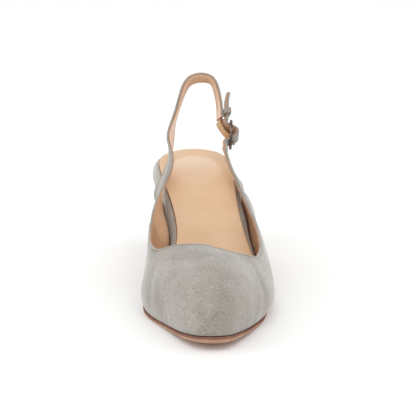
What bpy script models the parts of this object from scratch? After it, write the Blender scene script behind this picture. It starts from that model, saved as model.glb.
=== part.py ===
"""Left dirndl slingback pump in metres: toe towards -Y, heel +Y, outer side +X, the sole flat on Z = 0.

The origin is the middle of the forefoot's flat tread. The upper, its billet and the sling strap are one
swept strip: its lower edge follows the sole's edge round the toe, its upper edge the topline, and behind
the wings both edges run on as straps.
"""

import math

import bmesh
import bpy
import numpy as np

# Sizes of the shoe, a European size 38.
LENGTH = 0.250
BALL_WIDTH = 0.084
HEEL_HEIGHT = 0.060
INSTEP_RISE = 0.037
SLING_RISE = 0.060
STRAP_WIDTH = 0.010
WALL = 0.0024
SOLE_THICKNESS = 0.004
INSOLE_THICKNESS = 0.0015
HEEL_CUP = 0.0016
TOP_LIFT_THICKNESS = 0.005
HEEL_BASE_LENGTH = 0.037
HEEL_BASE_WIDTH = 0.039
HEEL_INSET = 0.0010

# Sizes of the buckle and what holds it.
BUCKLE_LENGTH = 0.0190
BUCKLE_BAR = 0.0022
PRONG_THICKNESS = 0.0018
LOOP_THICKNESS = 0.0012
KEEPER_THICKNESS = 0.0008
KEEPER_LENGTH = 0.0040

BUCKLE_SIDE_ROOM = 0.0005
PRONG_EYE = 0.0009

# Room between pieces.
CLEARANCE = 0.0003
WELT = 0.0007
BED_GAP = 0.0006


def table(columns, *rows):
    """Named columns of numbers, a row for each section."""
    values = np.array(rows, float)
    return {name: values[:, k] for k, name in enumerate(columns.split())}


# Heights under the foot: along is a share of LENGTH, thick of SOLE_THICKNESS, the others of HEEL_HEIGHT.
PROFILE = table(
    "along tread thick seat",
    (-0.32, 0.0867, 1.0, 0.25),
    (-0.24, 0.0433, 0.75, 0.205),
    (-0.16, 0.0133, 0.6, 0.18),
    (-0.088, 0.0, 0.55, 0.1717),
    (0.0, 0.0, 0.55, 0.175),
    (0.06, 0.0, 0.57, 0.2),
    (0.12, 0.0533, 0.65, 0.2583),
    (0.18, 0.16, 0.72, 0.3583),
    (0.24, 0.29, 0.75, 0.4917),
    (0.3, 0.44, 0.75, 0.65),
    (0.36, 0.6067, 0.75, 0.8167),
    (0.42, 0.75, 0.75, 0.9583),
    (0.48, 0.85, 0.75, 1.0583),
    (0.536, 0.9033, 0.75, 1.1117),
    (0.6, 0.9317, 0.75, 1.14),
    (0.68, 0.9517, 0.75, 1.16),
)

# Outlines: along is a share of LENGTH, medial and lateral of BALL_WIDTH.
SOLE_EDGE = table(
    "along medial lateral",
    (-0.308, -0.0952, 0.1333),
    (-0.276, -0.1714, 0.2024),
    (-0.228, -0.2405, 0.2833),
    (-0.176, -0.3024, 0.356),
    (-0.12, -0.375, 0.4274),
    (-0.06, -0.4476, 0.475),
    (0.0, -0.4726, 0.4964),
    (0.056, -0.45, 0.5083),
    (0.112, -0.3976, 0.5131),
    (0.168, -0.3381, 0.506),
    (0.224, -0.2952, 0.4881),
    (0.28, -0.2762, 0.4643),
    (0.336, -0.3095, 0.45),
    (0.372, -0.3119, 0.4286),
    (0.42, -0.3238, 0.3952),
    (0.48, -0.3476, 0.369),
    (0.536, -0.3571, 0.3476),
    (0.588, -0.3357, 0.3214),
    (0.628, -0.2762, 0.269),
    (0.658, -0.169, 0.1738),
)
SOLE_ENDS = {"tip": (0.0286, -0.32), "heel": (0.0095, 0.672)}

INSOLE_EDGE = table(
    "along medial lateral",
    (-0.264, -0.1131, 0.1429),
    (-0.232, -0.1786, 0.2024),
    (-0.188, -0.2417, 0.2679),
    (-0.132, -0.3214, 0.3512),
    (-0.068, -0.3952, 0.4107),
    (0.0, -0.4143, 0.4405),
    (0.06, -0.375, 0.4571),
    (0.12, -0.3155, 0.4512),
    (0.168, -0.2524, 0.4369),
    (0.224, -0.1952, 0.4024),
    (0.28, -0.181, 0.3702),
    (0.34, -0.2048, 0.3452),
    (0.408, -0.2536, 0.3345),
    (0.472, -0.2893, 0.3262),
    (0.528, -0.3024, 0.3095),
    (0.58, -0.2762, 0.2786),
    (0.624, -0.2024, 0.2167),
)
INSOLE_ENDS = {"tip": (0.0238, -0.282), "heel": (0.0143, 0.66)}

# The topline by station, 0 over the toe and more towards the outer side: across is a share of BALL_WIDTH,
# along of LENGTH, rise over the insole of INSTEP_RISE. CORNER is the throat's sharp outer corner.
TOPLINE = table(
    "station across along rise",
    (-12.0, -0.325, 0.312, 0.486),
    (-11.0, -0.3595, 0.264, 0.5958),
    (-10.0, -0.3821, 0.2276, 0.6566),
    (-9.0, -0.4024, 0.18, 0.7216),
    (-8.0, -0.4179, 0.136, 0.7658),
    (-7.0, -0.4238, 0.088, 0.7963),
    (-6.0, -0.4155, 0.048, 0.8063),
    (-5.5, -0.3929, 0.022, 0.809),
    (-5.0, -0.3643, 0.0064, 0.8219),
    (-4.0, -0.3167, -0.008, 0.8754),
    (-3.0, -0.2619, -0.018, 0.9346),
    (-2.0, -0.1952, -0.0292, 0.9877),
    (-1.0, -0.1036, -0.04, 1.0156),
    (0.0, -0.0119, -0.044, 1.005),
    (1.0, 0.0893, -0.052, 0.9618),
    (2.0, 0.1786, -0.0528, 0.9051),
    (3.0, 0.2655, -0.044, 0.8374),
    (4.0, 0.3512, -0.026, 0.7548),
    (5.0, 0.4155, -0.0028, 0.6766),
    (6.0, 0.4619, 0.056, 0.6744),
    (7.0, 0.4726, 0.12, 0.6297),
    (8.0, 0.4655, 0.192, 0.5228),
    (9.0, 0.4405, 0.256, 0.4024),
    (10.0, 0.4071, 0.308, 0.3096),
    (11.0, 0.3702, 0.35, 0.276),
)
CORNER = 5.0
SEAM = -9.0

# The straps' upper edges: rise is a share of SLING_RISE, width of STRAP_WIDTH, lean to the foot in degrees.
SLING = table(
    "station across along rise width lean",
    (-28.0, 0.269, 0.578, 0.4923, 0.96, -18.0),
    (-27.0, 0.269, 0.5892, 0.5617, 0.93, -10.0),
    (-26.0, 0.2595, 0.6072, 0.6979, 0.9, 3.0),
    (-25.0, 0.2238, 0.628, 0.8739, 0.88, 19.0),
    (-24.0, 0.1607, 0.6412, 0.9572, 0.88, 29.0),
    (-23.0, 0.069, 0.648, 0.974, 0.92, 35.0),
    (-22.0, -0.0238, 0.6412, 0.9422, 0.92, 38.0),
    (-21.0, -0.0964, 0.624, 0.8232, 0.9, 32.0),
    (-20.0, -0.1476, 0.598, 0.6139, 0.92, 14.0),
    (-19.0, -0.194, 0.568, 0.4763, 0.96, -10.0),
    (-18.0, -0.2333, 0.54, 0.3474, 1.0, -23.0),
    (-17.0, -0.2262, 0.504, 0.2812, 1.0, -6.0),
    (-16.0, -0.2048, 0.466, 0.2426, 1.0, 18.0),
    (-15.0, -0.2071, 0.426, 0.223, 1.0, 36.0),
    (-14.0, -0.2333, 0.388, 0.2327, 1.08, 41.0),
    (-13.0, -0.2762, 0.352, 0.2531, 1.52, 29.0),
)

BILLET = table(
    "station across along rise width lean",
    (12.0, 0.3381, 0.376, 0.2154, 1.5, 23.0),
    (13.0, 0.3083, 0.408, 0.2353, 1.15, 20.0),
    (14.0, 0.2881, 0.442, 0.2514, 1.0, 14.0),
    (15.0, 0.2774, 0.476, 0.2752, 1.0, 9.0),
    (19.0, 0.3202, 0.5888, 0.5619, 1.0, 2.0),
    (20.0, 0.3238, 0.6052, 0.6751, 1.0, 9.0),
    (21.0, 0.344, 0.6164, 0.7586, 1.0, 11.0),
)
KEPT = 19.0

# The buckle: its centre as in BILLET, and how steeply and how far outwards the strap runs there, in degrees.
BUCKLE_PLACE = {"across": 0.326, "along": 0.5576, "rise": 0.2965, "climb": 42.5, "turn": 3.0}

# The billet's outer face in the buckle: run along the strap from its centre, a share of BUCKLE_LENGTH, and
# out from it in steps of the billet's own height over the centre bar.
WEAVE = table(
    "station run out",
    (16.0, -0.60, -0.50),
    (16.28, -0.44, -0.50),
    (16.64, -0.24, 0.55),
    (17.0, 0.0, 1.0),
    (17.36, 0.24, 0.62),
    (17.72, 0.44, -0.48),
    (18.0, 0.60, -0.44),
)

# Where each station meets the sole's edge: way around it from the toe, a share of LENGTH.
FEATHER = table(
    "station around",
    (-12.0, -0.732),
    (-11.0, -0.684),
    (-10.0, -0.636),
    (-9.0, -0.588),
    (-8.0, -0.536),
    (-7.0, -0.484),
    (-6.0, -0.436),
    (-5.5, -0.396),
    (-5.0, -0.356),
    (-4.0, -0.28),
    (-3.0, -0.204),
    (-2.0, -0.132),
    (-1.0, -0.064),
    (0.0, 0.0),
    (1.0, 0.068),
    (2.0, 0.136),
    (3.0, 0.204),
    (4.0, 0.276),
    (5.0, 0.356),
    (6.0, 0.424),
    (7.0, 0.492),
    (8.0, 0.564),
    (9.0, 0.632),
    (10.0, 0.692),
    (11.0, 0.752),
)

# How far the wall swells past the sole, how high, and its bulge up to the topline, of INSTEP_RISE.
SWELL = table(
    "station out up bulge",
    (-12.0, 0.0162, 0.1892, 0.0081),
    (-11.0, 0.027, 0.2162, 0.0135),
    (-9.0, 0.027, 0.2432, 0.027),
    (-7.0, 0.0351, 0.2432, 0.0324),
    (-5.0, 0.0595, 0.2162, 0.0405),
    (-3.0, 0.0486, 0.2432, 0.1486),
    (-1.5, 0.0378, 0.2703, 0.2162),
    (0.0, 0.0378, 0.2838, 0.2297),
    (1.5, 0.0486, 0.2703, 0.2162),
    (3.0, 0.0811, 0.2162, 0.1351),
    (5.0, 0.1324, 0.1757, 0.0405),
    (7.0, 0.1108, 0.1757, 0.0405),
    (9.0, 0.0703, 0.1892, 0.0324),
    (10.0, 0.073, 0.2162, 0.0216),
    (11.0, 0.0514, 0.1892, 0.0135),
)

# The wing fades into the strap one station past the last feather row.
WING_FADE = 1.0
STRAP_START = 15.0
STATION_STEP = 0.25
BILLET_STEP = 0.125
WALL_ROWS = 7
RING_POINTS = 40
SOLE_POINTS = 64
CAP_COLUMNS = 6
# The heel's lines: where its breast starts, a share of LENGTH, its hollow and how far its back slopes in.
BREAST = 0.448
HEEL_CURVE = 1.5
HEEL_UNDERCUT = 0.012
# Behind these shares of LENGTH the upper has left the sole and the footbed comes out over its edge.
BED_INSIDE = 0.375
BED_FLUSH = 0.44
# The loop leaves the centre bar at this angle to the strap and sags this far on its way to the sling.
LOOP_TURN = -55
LOOP_SAG = 0.0022


def spline(knots, values, at):
    """Natural cubic spline through values, one row per knot."""
    knots, values = np.asarray(knots, float), np.asarray(values, float)
    rows = values.reshape(len(knots), -1)
    step = np.diff(knots)
    count = len(knots)
    system, right = np.eye(count), np.zeros_like(rows)
    for i in range(1, count - 1):
        system[i, i - 1 : i + 2] = step[i - 1], 2 * (step[i - 1] + step[i]), step[i]
        slope = (rows[i + 1] - rows[i]) / step[i] - (rows[i] - rows[i - 1]) / step[i - 1]
        right[i] = 6 * slope
    bend = np.linalg.solve(system, right)
    at = np.atleast_1d(np.asarray(at, float))
    k = np.clip(np.searchsorted(knots, at, side="right") - 1, 0, count - 2)
    before, after, span = (at - knots[k])[:, None], (knots[k + 1] - at)[:, None], step[k][:, None]
    found = (bend[k] * after**3 + bend[k + 1] * before**3) / (6 * span)
    found += (rows[k] / span - bend[k] * span / 6) * after
    found += (rows[k + 1] / span - bend[k + 1] * span / 6) * before
    return found.reshape((len(at),) + values.shape[1:])


def even_curve(knots, values, at):
    """Cubic curve that stays level between equal values and never overshoots."""
    knots, values, at = np.asarray(knots, float), np.asarray(values, float), np.asarray(at, float)
    step = np.diff(knots)
    rise = np.diff(values) / step
    slope = np.zeros(len(knots))
    both = rise[:-1] * rise[1:]
    slope[1:-1] = np.where(both > 0, 2 * both / np.where(both > 0, rise[:-1] + rise[1:], 1), 0)
    slope[0], slope[-1] = rise[0], rise[-1]
    k = np.clip(np.searchsorted(knots, at, side="right") - 1, 0, len(step) - 1)
    u, h = (at - knots[k]) / step[k], step[k]
    start = (1 + 2 * u) * (1 - u) ** 2 * values[k] + u * (1 - u) ** 2 * h * slope[k]
    return start + u * u * (3 - 2 * u) * values[k + 1] + u * u * (u - 1) * h * slope[k + 1]


def lengths_along(points):
    return np.concatenate([[0], np.cumsum(np.linalg.norm(np.diff(points, axis=0), axis=1))])


def unit(vectors):
    return vectors / np.linalg.norm(vectors, axis=-1, keepdims=True)


def closed_curve(points, count):
    """Smooth closed curve through points in turn, evenly spaced."""
    points = np.asarray(points, float)
    turns = np.vstack([points, points, points, points[:1]])
    way = lengths_along(turns)
    first, last = way[len(points)], way[2 * len(points)]
    return spline(way, turns, np.linspace(first, last, count, endpoint=False))


def inset(curve, distance):
    """A closed outline moved inwards all round, by one distance or one for each point."""
    along = unit(np.roll(curve, -1, 0) - np.roll(curve, 1, 0))
    return curve - np.reshape(distance, (-1, 1)) * np.stack([along[:, 1], -along[:, 0]], 1)


def outline(rows, ends, count=600):
    """Plan outline from the toe tip along the outer side to the heel and back, anticlockwise from above."""
    scale = np.array([BALL_WIDTH, LENGTH])
    outer = np.stack([rows["lateral"], rows["along"]], 1)
    inner = np.stack([rows["medial"], rows["along"]], 1)[::-1]
    points = np.vstack([[ends["tip"]], outer, [ends["heel"]], inner])
    return closed_curve(points * scale, count)


SOLE_OUTLINE = outline(SOLE_EDGE, SOLE_ENDS)
INSOLE_OUTLINE = outline(INSOLE_EDGE, INSOLE_ENDS)


def seat_height(y):
    """Height of the insole's edge."""
    return spline(PROFILE["along"] * LENGTH, PROFILE["seat"] * HEEL_HEIGHT, y)


def tread_height(y):
    """Underside of the sole: the forefoot is flat on the floor."""
    return even_curve(PROFILE["along"] * LENGTH, PROFILE["tread"] * HEEL_HEIGHT, y)


def sole_top(y):
    return tread_height(y) + even_curve(PROFILE["along"] * LENGTH, PROFILE["thick"] * SOLE_THICKNESS, y)


def heel_cup(x, y):
    """How far the heel's seat is dished under its rim."""
    fade = np.clip((y / LENGTH - 0.36) / 0.16, 0, 1)
    fade = fade * fade * (3 - 2 * fade)
    width = 0.30 * BALL_WIDTH
    return HEEL_CUP * fade * np.clip(1 - (x / width) ** 2, 0, 1) * np.clip((0.66 - y / LENGTH) / 0.06, 0, 1)


def split_ring(curve, count):
    """Ring of two halves, toe tip first, with points opposite each other: evenly spaced on the outer side."""
    tip, back = np.argmin(curve[:, 1]), np.argmax(curve[:, 1])
    turned = np.roll(curve, -tip, axis=0)
    back = (back - tip) % len(curve)
    outer, inner = turned[: back + 1], np.vstack([turned[back:], turned[:1]])[::-1]
    way = lengths_along(outer)
    even = np.linspace(0, way[-1], count + 1)
    outer = np.stack([np.interp(even, way, outer[:, k]) for k in (0, 1)], 1)
    facing = np.stack([np.interp(outer[:, 1], inner[:, 1], inner[:, 0]), outer[:, 1]], 1)
    return np.vstack([outer, facing[-2:0:-1]])


def lifted(ring, height):
    return np.column_stack([ring, height])


def mesh_object(name, points, faces, material):
    mesh = bpy.data.meshes.new(name)
    mesh.from_pydata([tuple(p) for p in np.asarray(points).tolist()], [], faces)
    made = bpy.data.objects.new(name, mesh)
    made.data.materials.append(material)
    SHOE.objects.link(made)
    return made


def face_outwards(made):
    """Turns every face outwards."""
    shape = bmesh.new()
    shape.from_mesh(made.data)
    bmesh.ops.remove_doubles(shape, verts=shape.verts, dist=1e-7)
    bmesh.ops.recalc_face_normals(shape, faces=shape.faces)
    if shape.calc_volume(signed=True) < 0:
        bmesh.ops.reverse_faces(shape, faces=shape.faces)
    shape.to_mesh(made.data)
    shape.free()


def slab(name, rings, material, top=None, bottom=None):
    """Closed solid from rings stacked upwards. top and bottom give a dished cap's extra height at x, y."""
    count = len(rings[0])
    half = count // 2
    points = [p for ring in rings for p in ring]
    faces = []
    for k in range(len(rings) - 1):
        low, high = k * count, (k + 1) * count
        for i in range(count):
            j = (i + 1) % count
            faces.append((low + i, low + j, high + j, high + i))
    for ring, start, shape in ((rings[-1], (len(rings) - 1) * count, top), (rings[0], 0, bottom)):
        rows = []
        columns = 1 if shape is None else CAP_COLUMNS
        for i in range(1, half):
            row = [start + i]
            outer, inner = ring[i], ring[count - i]
            for c in range(1, columns):
                point = outer + (inner - outer) * c / columns
                point = point + np.array([0, 0, shape(point[0], point[1])])
                row.append(len(points))
                points.append(point)
            rows.append(row + [start + count - i])
        for c in range(columns):
            faces.append((start, rows[0][c], rows[0][c + 1]))
            faces.append((start + half, rows[-1][c + 1], rows[-1][c]))
            for a, b in zip(rows[:-1], rows[1:]):
                faces.append((a[c], b[c], b[c + 1], a[c + 1]))
    made = mesh_object(name, points, faces, material)
    face_outwards(made)
    return made


def wall_between(name, outer, inner, material):
    """Closed wall between two like grids, its rims joined all round."""
    columns, rows = outer.shape[:2]
    index = np.arange(2 * columns * rows).reshape(2, columns, rows)
    faces = []
    for side in index:
        quads = np.stack([side[:-1, :-1], side[1:, :-1], side[1:, 1:], side[:-1, 1:]], -1)
        faces += quads.reshape(-1, 4).tolist()
    for edge in (index[:, 0], index[:, -1], index[:, :, 0], index[:, :, -1]):
        quads = np.stack([edge[0, :-1], edge[0, 1:], edge[1, 1:], edge[1, :-1]], -1)
        faces += quads.tolist()
    points = np.stack([outer, inner]).reshape(-1, 3)
    made = mesh_object(name, points, faces, material)
    face_outwards(made)
    return made


def cut(made, cutter):
    tool = made.modifiers.new(cutter.name, "BOOLEAN")
    tool.operation = "DIFFERENCE"
    tool.solver = "EXACT"
    tool.object = cutter


def join(made, other):
    tool = made.modifiers.new(other.name, "BOOLEAN")
    tool.operation = "UNION"
    tool.solver = "EXACT"
    tool.object = other
    as_cutter(other)


def as_cutter(made):
    for group in list(made.users_collection):
        group.objects.unlink(made)
    CUTTERS.objects.link(made)
    made.hide_render = True
    made.display_type = "WIRE"


def material(name, colour, roughness, metallic=0.0):
    made = bpy.data.materials.new(name)
    made.use_nodes = True
    surface = made.node_tree.nodes["Principled BSDF"]
    surface.inputs["Base Color"].default_value = (*colour, 1)
    surface.inputs["Roughness"].default_value = roughness
    surface.inputs["Metallic"].default_value = metallic
    return made


# The strip of upper and straps.
def top_rows():
    """Stations and points of the topline and of both straps' upper edges."""
    rows = []
    for part, size in ((SLING, SLING_RISE), (TOPLINE, INSTEP_RISE), (BILLET, SLING_RISE)):
        y = part["along"] * LENGTH
        z = seat_height(y) + part["rise"] * size
        rows.append(np.column_stack([part["station"], part["across"] * BALL_WIDTH, y, z]))
    return np.vstack(rows)


def buckle_axes():
    """Centre of the buckle, and its directions along the strap, across it and away from the foot."""
    place = BUCKLE_PLACE
    y = place["along"] * LENGTH
    centre = np.array([place["across"] * BALL_WIDTH, y, seat_height(y)[0] + place["rise"] * SLING_RISE])
    climb, turn = math.radians(place["climb"]), math.radians(place["turn"])
    run = np.array([math.sin(turn), math.cos(turn) * math.cos(climb), math.cos(turn) * math.sin(climb)])
    across = unit(np.array([0, -math.sin(climb), math.cos(climb)]))
    across = unit(across - run * (across @ run))
    return centre, run, across, np.cross(run, across)


def woven_rows():
    """Upper edge of the billet where it passes inside the end bars and outside the centre bar."""
    centre, run, across, face = buckle_axes()
    over = BUCKLE_BAR / 2 + LOOP_THICKNESS + WALL + 4 * CLEARANCE
    flat = WEAVE["run"][:, None] * BUCKLE_LENGTH * run + WEAVE["out"][:, None] * over * face
    return np.column_stack([WEAVE["station"], centre + across * STRAP_WIDTH / 2 + flat])


def all_top_rows():
    rows = np.vstack([top_rows(), woven_rows()])
    return rows[np.argsort(rows[:, 0])]


TOP_ROWS = all_top_rows()


def top_edge(station):
    """Upper edge at a station, broken only at the throat's sharp corner."""
    station = np.atleast_1d(np.asarray(station, float))
    found = np.zeros((len(station), 3))
    known = TOP_ROWS[:, 0]
    for side, rows in ((station <= CORNER, known <= CORNER), (station > CORNER, known >= CORNER)):
        if side.any():
            found[side] = spline(TOP_ROWS[rows, 0], TOP_ROWS[rows, 1:], station[side])
    return found


def strap_direction(station, reach=0.9):
    """Which way the strip runs, taken over a length so that a short bend doesn't turn the strap."""
    first, last = TOP_ROWS[0, 0], TOP_ROWS[-1, 0]
    ahead = top_edge(np.clip(station + reach, first, last))
    return unit(ahead - top_edge(np.clip(station - reach, first, last)))


def strap_frame(station, lean):
    """Direction of run, of width and outwards at stations of a strap."""
    run = strap_direction(station)
    point = top_edge(station)
    round_heel = np.maximum(point[:, 1] - 0.58 * LENGTH, 0) * 1.2
    side = unit(np.column_stack([point[:, 0], round_heel, np.zeros(len(point))]))
    rise = unit(np.cross(side, run))
    rise *= np.sign(rise[:, 2:])
    inwards = unit(np.cross(run, rise))
    inwards *= -np.sign((inwards * side).sum(axis=1))[:, None]
    lean = np.radians(lean)[:, None]
    width = np.cos(lean) * rise + np.sin(lean) * inwards
    outwards = np.sin(lean) * rise - np.cos(lean) * inwards
    return run, width, outwards


FOOT_PATH = inset(SOLE_OUTLINE, WELT)
FOOT_PATH = np.roll(FOOT_PATH, -int(np.argmin(FOOT_PATH[:, 1])), axis=0)
FOOT_PATH = np.vstack([FOOT_PATH, FOOT_PATH[:1]])
FOOT_WAY = lengths_along(FOOT_PATH)
FOOT_OUTWARDS = unit(np.gradient(FOOT_PATH, axis=0))
FOOT_OUTWARDS = np.stack([FOOT_OUTWARDS[:, 1], -FOOT_OUTWARDS[:, 0]], 1)


def on_feather(around):
    """Plan point and outward direction a way around the sole's edge from the toe."""
    around = np.mod(around, FOOT_WAY[-1])
    point = np.stack([np.interp(around, FOOT_WAY, FOOT_PATH[:, k]) for k in (0, 1)], 1)
    out = np.stack([np.interp(around, FOOT_WAY, FOOT_OUTWARDS[:, k]) for k in (0, 1)], 1)
    return point, unit(out)


def lower_rows():
    """Stations and points of the strip's lower edge: on the sole, then under each strap."""
    plan, _ = on_feather(FEATHER["around"] * LENGTH)
    rows = [np.column_stack([FEATHER["station"], plan, sole_top(plan[:, 1]) + CLEARANCE])]
    for strap in (SLING, BILLET):
        _, width, _ = strap_frame(strap["station"], strap["lean"])
        edge = top_edge(strap["station"]) - width * (strap["width"] * STRAP_WIDTH)[:, None]
        rows.append(np.column_stack([strap["station"], edge]))
    woven = woven_rows()
    rows.append(np.column_stack([woven[:, 0], woven[:, 1:] - buckle_axes()[2] * STRAP_WIDTH]))
    rows = np.vstack(rows)
    return rows[np.argsort(rows[:, 0])]


LOWER_ROWS = lower_rows()


def lower_edge(station):
    """Lower edge at a station: exactly on the sole's edge, then a smooth line under each strap."""
    station = np.atleast_1d(np.asarray(station, float))
    found = spline(LOWER_ROWS[:, 0], LOWER_ROWS[:, 1:], station)
    on_sole = (station >= FEATHER["station"][0]) & (station <= FEATHER["station"][-1])
    if on_sole.any():
        around = spline(FEATHER["station"], FEATHER["around"] * LENGTH, station[on_sole])
        plan, _ = on_feather(around)
        found[on_sole] = lifted(plan, sole_top(plan[:, 1]) + CLEARANCE)
    return found


def strip(station, rows):
    """Outer surface of upper and straps: at each station a smooth profile from lower to upper edge."""
    station = np.asarray(station, float)
    low, high = lower_edge(station), top_edge(station)
    first, last = FEATHER["station"][0], FEATHER["station"][-1]
    on_sole = np.clip(station, first, last)
    wing = np.clip(1 - np.abs(station - on_sole) / WING_FADE, 0, 1)[:, None]
    swell = np.column_stack([SWELL["out"], SWELL["up"], SWELL["bulge"]]) * INSTEP_RISE
    swell = spline(SWELL["station"], swell, on_sole) * wing
    _, out = on_feather(spline(FEATHER["station"], FEATHER["around"] * LENGTH, on_sole))
    belly = low + np.column_stack([out * swell[:, :1], swell[:, 1]])
    belly = belly * wing + (low + (high - low) * 0.3) * (1 - wing)
    reach = 1e-3
    run = unit(lower_edge(station + reach) - lower_edge(station - reach))
    out = unit(np.cross(run, high - belly))
    shoulder = (belly + high) / 2 + out * swell[:, 2:]
    grid = np.zeros((len(station), rows, 3))
    for i, profile in enumerate(np.stack([low, belly, shoulder, high], 1)):
        way = lengths_along(profile)
        grid[i] = spline(way, profile, np.linspace(0, way[-1], rows))
    return grid


def wall(station, rows, depth):
    """The strip moved inwards by a depth, square to its outer surface."""
    reach = 0.02
    grid = strip(station, rows)
    along = strip(station + reach, rows) - strip(station - reach, rows)
    moved = grid - depth * unit(np.cross(along, np.gradient(grid, axis=1)))
    on_sole = (station >= FEATHER["station"][0]) & (station <= FEATHER["station"][-1])
    moved[on_sole, 0, 2] = np.maximum(moved[on_sole, 0, 2], grid[on_sole, 0, 2])
    return moved


def stations(first, last, step=STATION_STEP):
    """Stations from first to last, with the whole ones among them."""
    inner = np.arange(math.ceil(first / step + 0.5), math.floor(last / step - 0.5) + 1) * step
    return np.concatenate([[first], inner, [last]])


SHOE = bpy.data.collections.new("dirndl_slingback_pump")
CUTTERS = bpy.data.collections.new("cutters")
for group in (SHOE, CUTTERS):
    bpy.context.scene.collection.children.link(group)
for old in list(bpy.data.objects):
    bpy.data.objects.remove(old)

SUEDE = material("grey_suede", (0.37, 0.36, 0.32), 0.95)
LINING = material("tan_leather", (0.68, 0.45, 0.28), 0.55)
SOLE_LEATHER = material("brown_sole_leather", (0.45, 0.24, 0.16), 0.6)
RUBBER = material("brown_rubber", (0.10, 0.06, 0.045), 0.8)
LOOP_LEATHER = material("loop_leather", (0.60, 0.36, 0.16), 0.5)
METAL = material("dark_bronze", (0.16, 0.12, 0.11), 0.4, 1.0)

# Outsole, from the toe to the heel's breast.
edge = split_ring(SOLE_OUTLINE, SOLE_POINTS)
under = split_ring(inset(SOLE_OUTLINE, 0.2 * SOLE_THICKNESS), SOLE_POINTS)
outsole = slab(
    "outsole",
    [
        lifted(under, tread_height(under[:, 1])),
        lifted(edge, tread_height(edge[:, 1]) + 0.2 * SOLE_THICKNESS),
        lifted(edge, sole_top(edge[:, 1])),
    ],
    SOLE_LEATHER,
)
behind = BREAST * LENGTH - CLEARANCE
bpy.ops.mesh.primitive_cube_add(size=1)
breast_cutter = bpy.context.object
breast_cutter.name = "breast_cutter"
breast_cutter.scale = (2 * BALL_WIDTH, LENGTH, 4 * HEEL_HEIGHT)
breast_cutter.location = (0, behind + LENGTH / 2, 0)
as_cutter(breast_cutter)
cut(outsole, breast_cutter)

# Footbed, wrapped in suede: its side flares from the insole's edge down to the sole.
bed_top = INSOLE_THICKNESS + CLEARANCE
seat_ring = split_ring(INSOLE_OUTLINE, RING_POINTS)
flush = np.clip((SOLE_OUTLINE[:, 1] / LENGTH - BED_INSIDE) / (BED_FLUSH - BED_INSIDE), 0, 1)
beside_wall = (WELT + WALL + BED_GAP) * (1 - flush * flush * (3 - 2 * flush))
bed_ring = split_ring(inset(SOLE_OUTLINE, beside_wall), RING_POINTS)
bed_under = split_ring(inset(SOLE_OUTLINE, beside_wall + BED_GAP), RING_POINTS)
bed_rings = [lifted(bed_under, sole_top(bed_under[:, 1]) + CLEARANCE)]
for share, turn in ((1.0, 78), (0.72, 52), (0.36, 28), (0.0, 8)):
    angle = math.radians(turn)
    plan = seat_ring + (bed_ring - seat_ring) * math.sin(angle) / math.sin(math.radians(78))
    top = seat_height(plan[:, 1]) - bed_top
    drop = top - sole_top(plan[:, 1]) - CLEARANCE - BED_GAP
    bed_rings.append(lifted(plan, top - drop * (1 - math.cos(angle)) / (1 - math.cos(math.radians(78)))))
footbed = slab("footbed", bed_rings, SUEDE, top=lambda x, y: -heel_cup(x, y))

# Insole, a leather sock on the footbed.
insole = slab(
    "insole",
    [
        lifted(seat_ring, seat_height(seat_ring[:, 1]) - INSOLE_THICKNESS),
        lifted(seat_ring, seat_height(seat_ring[:, 1])),
    ],
    LINING,
    top=lambda x, y: -heel_cup(x, y),
    bottom=lambda x, y: -heel_cup(x, y),
)

# Upper in one with the billet, and the sling in one with the inner wing behind the seam.
seam_gap = CLEARANCE / 2 / np.linalg.norm(top_edge(SEAM + 0.5) - top_edge(SEAM - 0.5))
upper_stations = stations(SEAM + seam_gap, STRAP_START)
upper_stations = np.concatenate([upper_stations, stations(STRAP_START, TOP_ROWS[-1, 0], BILLET_STEP)[1:]])
sling_stations = stations(TOP_ROWS[0, 0], SEAM - seam_gap)
upper = wall_between("upper", *(wall(upper_stations, WALL_ROWS, depth) for depth in (0, WALL)), SUEDE)
sling = wall_between("sling_strap", *(wall(sling_stations, WALL_ROWS, depth) for depth in (0, WALL)), SUEDE)


# Heel block under the footbed, and its top lift.
def heel_half(side):
    """Half outline from the middle of the breast round a side to the back."""
    ring = inset(SOLE_OUTLINE, HEEL_INSET)
    back = ring[np.argmax(ring[:, 1])]
    rows = ring[(ring[:, 1] > BREAST * LENGTH) & ((ring[:, 0] - back[0]) * side > 0)]
    rows = rows[np.argsort(rows[:, 1])]
    corner = np.array([rows[0, 0], BREAST * LENGTH])
    front = corner * np.linspace(0, 1, 5)[:, None] ** [1, 0]
    way = lengths_along(np.vstack([[corner], rows, [back]]))
    even = np.linspace(0, way[-1], RING_POINTS - 4)
    curve = np.vstack([[corner], rows, [back]])
    curve = np.stack([np.interp(even, way, curve[:, k]) for k in (0, 1)], 1)
    return np.vstack([front[:-1], curve])


def heel_ring(down):
    """Heel outline a share of the way down, with its height."""
    outer, inner = heel_half(1), heel_half(-1)
    ring = np.vstack([outer, inner[-2:0:-1]])
    middle = (ring[:, 0].max() + ring[:, 0].min()) / 2
    across = HEEL_BASE_WIDTH / np.ptp(ring[:, 0])
    along = HEEL_BASE_LENGTH / np.ptp(ring[:, 1])
    taper = 1 - (1 - down) ** HEEL_CURVE
    back = ring[:, 1].max()
    top = sole_top(ring[:, 1])
    base = TOP_LIFT_THICKNESS + CLEARANCE
    x = middle + (ring[:, 0] - middle) * (1 + (across - 1) * taper)
    y = back + (ring[:, 1] - back) * (1 + (along - 1) * taper) - HEEL_UNDERCUT * LENGTH * taper
    return np.column_stack([x, y, top + (base - top) * down])


heel = slab("heel", [heel_ring(down) for down in (1, 0.75, 0.5, 0.25, 0.1, 0)], SUEDE)
lift_ring = heel_ring(1)[:, :2]
level = np.ones(len(lift_ring))
lift_rings = [lifted(lift_ring, height * level) for height in (0, TOP_LIFT_THICKNESS)]
top_lift = slab("top_lift", lift_rings, RUBBER)


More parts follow.
